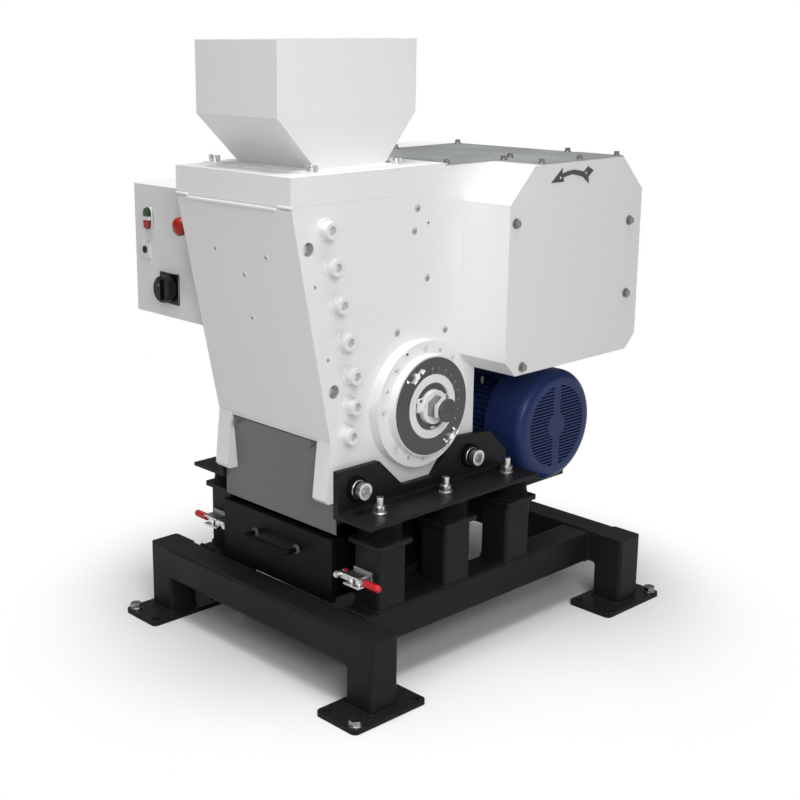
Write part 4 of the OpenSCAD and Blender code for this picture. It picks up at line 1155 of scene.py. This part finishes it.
# %% Cover the cowl
COWL_LOW, COWL_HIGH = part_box("fan_cowl")
COWL_Y, COWL_Z = box_middle("fan_cowl")[1:]
COWL_RADIUS = (COWL_HIGH[1] - COWL_LOW[1]) / 2 + 0.0008
COWL_BACK = COWL_LOW[0]
COWL_LONG = 0.2205 - COWL_BACK
COWL_ROUND = 0.023
COWL_WALL = 0.0016
COWL_FRONT_WALL = 0.003
BEND_STEPS = 8
GRILLE = 0.0970
SLOT_PITCH = 0.0076
SLOT_ROWS = 12
SLAT_HALF = 0.0019
SHORTEST_SLAT = 0.005
RIB_HALF = 0.012
HUB = 0.030
BLUE = FINISHES["motor_blue"]
COWL_SHADE = finish("cowl shade", (0.010, 0.019, 0.068), 0.5, shine=0.15)
COWL_SCREW_ANGLES = (-135, -45, 45)
COWL_SCREW_RADIUS = COWL_RADIUS - 0.0004
COWL_SCREW_SIZE = (0.0040, 0.0008, 0.0018)
MOTOR_CLIP = ((0.0675, 0.205, 0.5185), (0.0735, 0.211, 0.5360))


def cowl_bend(wall, front_wall, steps):
    """The rounded edge of the cowl, set in by the two walls."""
    bend = []
    for k in steps:
        a = math.radians(90 * k / BEND_STEPS)
        bend.append((COWL_RADIUS - COWL_ROUND + (COWL_ROUND - wall) * math.cos(a),
                     COWL_LONG - COWL_ROUND + (COWL_ROUND - front_wall) * math.sin(a)))
    return bend


shell = [(COWL_RADIUS - COWL_WALL, 0.0), (COWL_RADIUS, 0.0), (COWL_RADIUS, COWL_LONG - COWL_ROUND)]
shell += cowl_bend(0, 0, range(1, BEND_STEPS + 1))
shell += [(GRILLE - 0.0010, COWL_LONG), (GRILLE - 0.0010, COWL_LONG - COWL_FRONT_WALL),
          (COWL_RADIUS - COWL_ROUND, COWL_LONG - COWL_FRONT_WALL)]
shell += cowl_bend(COWL_WALL, COWL_FRONT_WALL, range(BEND_STEPS - 1, 0, -1))
turned("cowl_shell", shell, (COWL_BACK, COWL_Y, COWL_Z), RIGHT, BLUE, "machine", steps=96)
face = COWL_BACK + COWL_LONG
slats = []
for row in range(-SLOT_ROWS, SLOT_ROWS):
    z = (row + 0.5) * SLOT_PITCH
    reach = math.sqrt(max(GRILLE ** 2 - z * z, 0.0))
    if reach > SHORTEST_SLAT:
        slats.append(((face - COWL_FRONT_WALL, COWL_Y - reach, COWL_Z + z - SLAT_HALF),
                      (face - 0.0003, COWL_Y + reach, COWL_Z + z + SLAT_HALF)))
rib = ((face - 0.0031, COWL_Y - RIB_HALF, COWL_Z - GRILLE),
       (face - 0.0002, COWL_Y + RIB_HALF, COWL_Z + GRILLE))
many_bars("cowl_slats", slats + [rib], BLUE, "machine")
disc("cowl_hub", (face - 0.0032, COWL_Y, COWL_Z), RIGHT, HUB, 0.0031, BLUE, "machine")
# A dark disc behind the slats: painted shade inside the cowl.
disc("cowl_painted_shade_disc", (face - 0.0060, COWL_Y, COWL_Z), RIGHT, GRILLE + 0.006, 0.0010, COWL_SHADE,
     "machine")
screws("cowl_screws", [Vector((COWL_BACK + 0.012, COWL_Y + COWL_SCREW_RADIUS * math.cos(a),
                               COWL_Z + COWL_SCREW_RADIUS * math.sin(a)))
                       for a in map(math.radians, COWL_SCREW_ANGLES)],
       (0, 0, 0), COWL_SCREW_SIZE, BLUE, "machine", 12)
block("motor_clip", *MOTOR_CLIP, FINISHES["zinc_steel"], "machine", soft=0.0012)
print("cowl slats:", len(slats))

# %% [markdown]
# ## Rubber mounts
#
# The machine stands on six rubber mounts, each a block of rubber between two steel discs. The rubber
# narrows a little towards its middle, and that curve is a sine.

# %% Cover the mounts
MOUNT_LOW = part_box("rubber_mounts")[0][2]
MOUNT_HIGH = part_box("rubber_mounts")[1][2]
MOUNT_RADIUS = 0.048
MOUNT_WAIST = 0.0030
MOUNT_STEPS = 8
DISC_THICK = 0.0030
RUBBER_START = 0.0031
UP = (0, 0, 1)
tall = MOUNT_HIGH - MOUNT_LOW
rubber = [(0, RUBBER_START), (MOUNT_RADIUS - 0.0005, RUBBER_START)]
for k in range(1, MOUNT_STEPS):
    u = k / MOUNT_STEPS
    rubber.append((MOUNT_RADIUS - MOUNT_WAIST * math.sin(math.pi * u),
                   RUBBER_START + (tall - 2 * RUBBER_START) * u))
rubber += [(MOUNT_RADIUS - 0.0005, tall - RUBBER_START), (0, tall - RUBBER_START)]
for side in (-1, 1):
    for number, y in enumerate(POST_Y, 1):
        word = f"{side_word(side)}_mount_{number}"
        x = side * RAIL_X
        # The rubber's near-black is partly its own colour and partly painted shade under the frame.
        turned(word + "_rubber", rubber, (x, y, MOUNT_LOW), UP, FINISHES["mount_rubber"], "machine")
        disc(word + "_low_disc", (x, y, MOUNT_LOW + 0.0001), UP, MOUNT_RADIUS, DISC_THICK,
             FINISHES["frame_black"], "machine")
        disc(word + "_high_disc", (x, y, MOUNT_HIGH - RUBBER_START), UP, MOUNT_RADIUS, DISC_THICK,
             FINISHES["frame_black"], "machine")
print("mount height in mm:", round(1000 * tall, 1))

# %% [markdown]
# ## Bracket screws
#
# Four big screws hold the angle brackets to the side plates. Round each lies a black boss, a bright
# washer on it, a dark ring of painted shade in the gap round the head and a thin dark ring of painted
# shade on the head's face. All are short turned rings, one set for each screw.

# %% Dress the bracket screws
BRACKET_FACE = 0.196
BOLT_END = 0.225
COLLAR = 0.0264
BRACKET_SCREWS = (("front", -0.320, 0.413), ("rear", 0.025, 0.411))
BOSS = [(0, 0), (COLLAR, 0), (COLLAR, 0.0060), (COLLAR - 0.0010, 0.0068), (0, 0.0068)]
WASHER = [(0.018, 0.0066), (0.0198, 0.0066), (0.0198, 0.0096), (0.0190, 0.0104), (0.018, 0.0104)]
# Dark rings of painted shade: one in the gap round the head, one on the head's face.
HEAD_GAP_SHADE = tube_profile(0.016, 0.0184, 0.0088, 0.0160)
SCREW_RINGS = (("_boss", BOSS, "mount_rubber"), ("_washer", WASHER, "zinc_steel"),
               ("_shade", HEAD_GAP_SHADE, "mount_rubber"))
for side in (-1, 1):
    for place, y, z in BRACKET_SCREWS:
        word = f"{side_word(side)}_bracket_{place}"
        for ending, profile, slot in SCREW_RINGS:
            turned(word + ending, profile, (side * BRACKET_FACE, y, z), (side, 0, 0), FINISHES[slot],
                   "machine")
        disc(word + "_head_shade_ring", (side * (BOLT_END - 0.0002), y, z), (side, 0, 0), 0.0118, 0.0006,
             DARK, "machine", inner=0.0104, soft=0.0001)
print("dressed screws:", 2 * len(BRACKET_SCREWS))

# %% [markdown]
# ## Drawer front and cap lip
#
# A black sheet forms the face of the drawer, wider and thicker than the solid, and its bow handle
# stands on two turned feet, whose dark grey, lighter than the sheet, is painted highlight. They ride
# on the drawer. Under the cap, the front sheet ends in a folded lip with a tab at each end.

# %% Cover the drawer front and the cap edge
DRAWER_LOW, DRAWER_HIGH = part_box("drawer")
DRAWER_FACE = -0.360
DRAWER_SHEET = 0.0120
DRAWER_HALF = 0.1786
SHEET_FACE = DRAWER_FACE - DRAWER_SHEET
HANDLE_X = 0.068
HANDLE_Z = 0.256
HANDLE_FOOT = [(0, 0), (0.0115, 0), (0.0115, 0.0016), (0.0070, 0.0052), (0, 0.0052)]
LIP_HALF = 0.1405
TAB_ENDS = (0.1412, 0.1822)
LIP_BACK = -0.4740
block("drawer_front_sheet", (-DRAWER_HALF, SHEET_FACE, DRAWER_LOW[2] - 0.0054),
      (DRAWER_HALF, DRAWER_FACE + 0.0002, DRAWER_HIGH[2] + 0.0004), FINISHES["drawer_black"], "drawer",
      soft=0.0012)
for side in (-1, 1):
    # The feet's dark grey, lighter than the black sheet, is painted highlight.
    turned(side_word(side) + "_handle_foot", HANDLE_FOOT, (side * HANDLE_X, SHEET_FACE + 0.0002, HANDLE_Z),
           (0, -1, 0), DARK, "drawer")
block("front_lip", (-LIP_HALF, -0.4838, 0.9905), (LIP_HALF, LIP_BACK, 0.9966), FINISHES["body_white"],
      "machine", soft=0.0015)
for side in (-1, 1):
    start, end = sorted(side * reach for reach in TAB_ENDS)
    block(side_word(side) + "_cap_tab", (start, -0.4826, 0.9975), (end, LIP_BACK, 1.0025),
          FINISHES["body_white"], "machine", soft=0.0015)
print("drawer sheet width in mm:", round(2000 * DRAWER_HALF, 1))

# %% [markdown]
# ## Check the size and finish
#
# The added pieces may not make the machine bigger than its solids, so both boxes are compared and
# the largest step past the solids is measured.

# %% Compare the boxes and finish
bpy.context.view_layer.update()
low_steps = [solid - seen for solid, seen in zip(cad_bounds[0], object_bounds()[0])]
high_steps = [seen - solid for solid, seen in zip(cad_bounds[1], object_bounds()[1])]
print("largest step past the solids in mm:", round(1000 * max(low_steps + high_steps), 2))
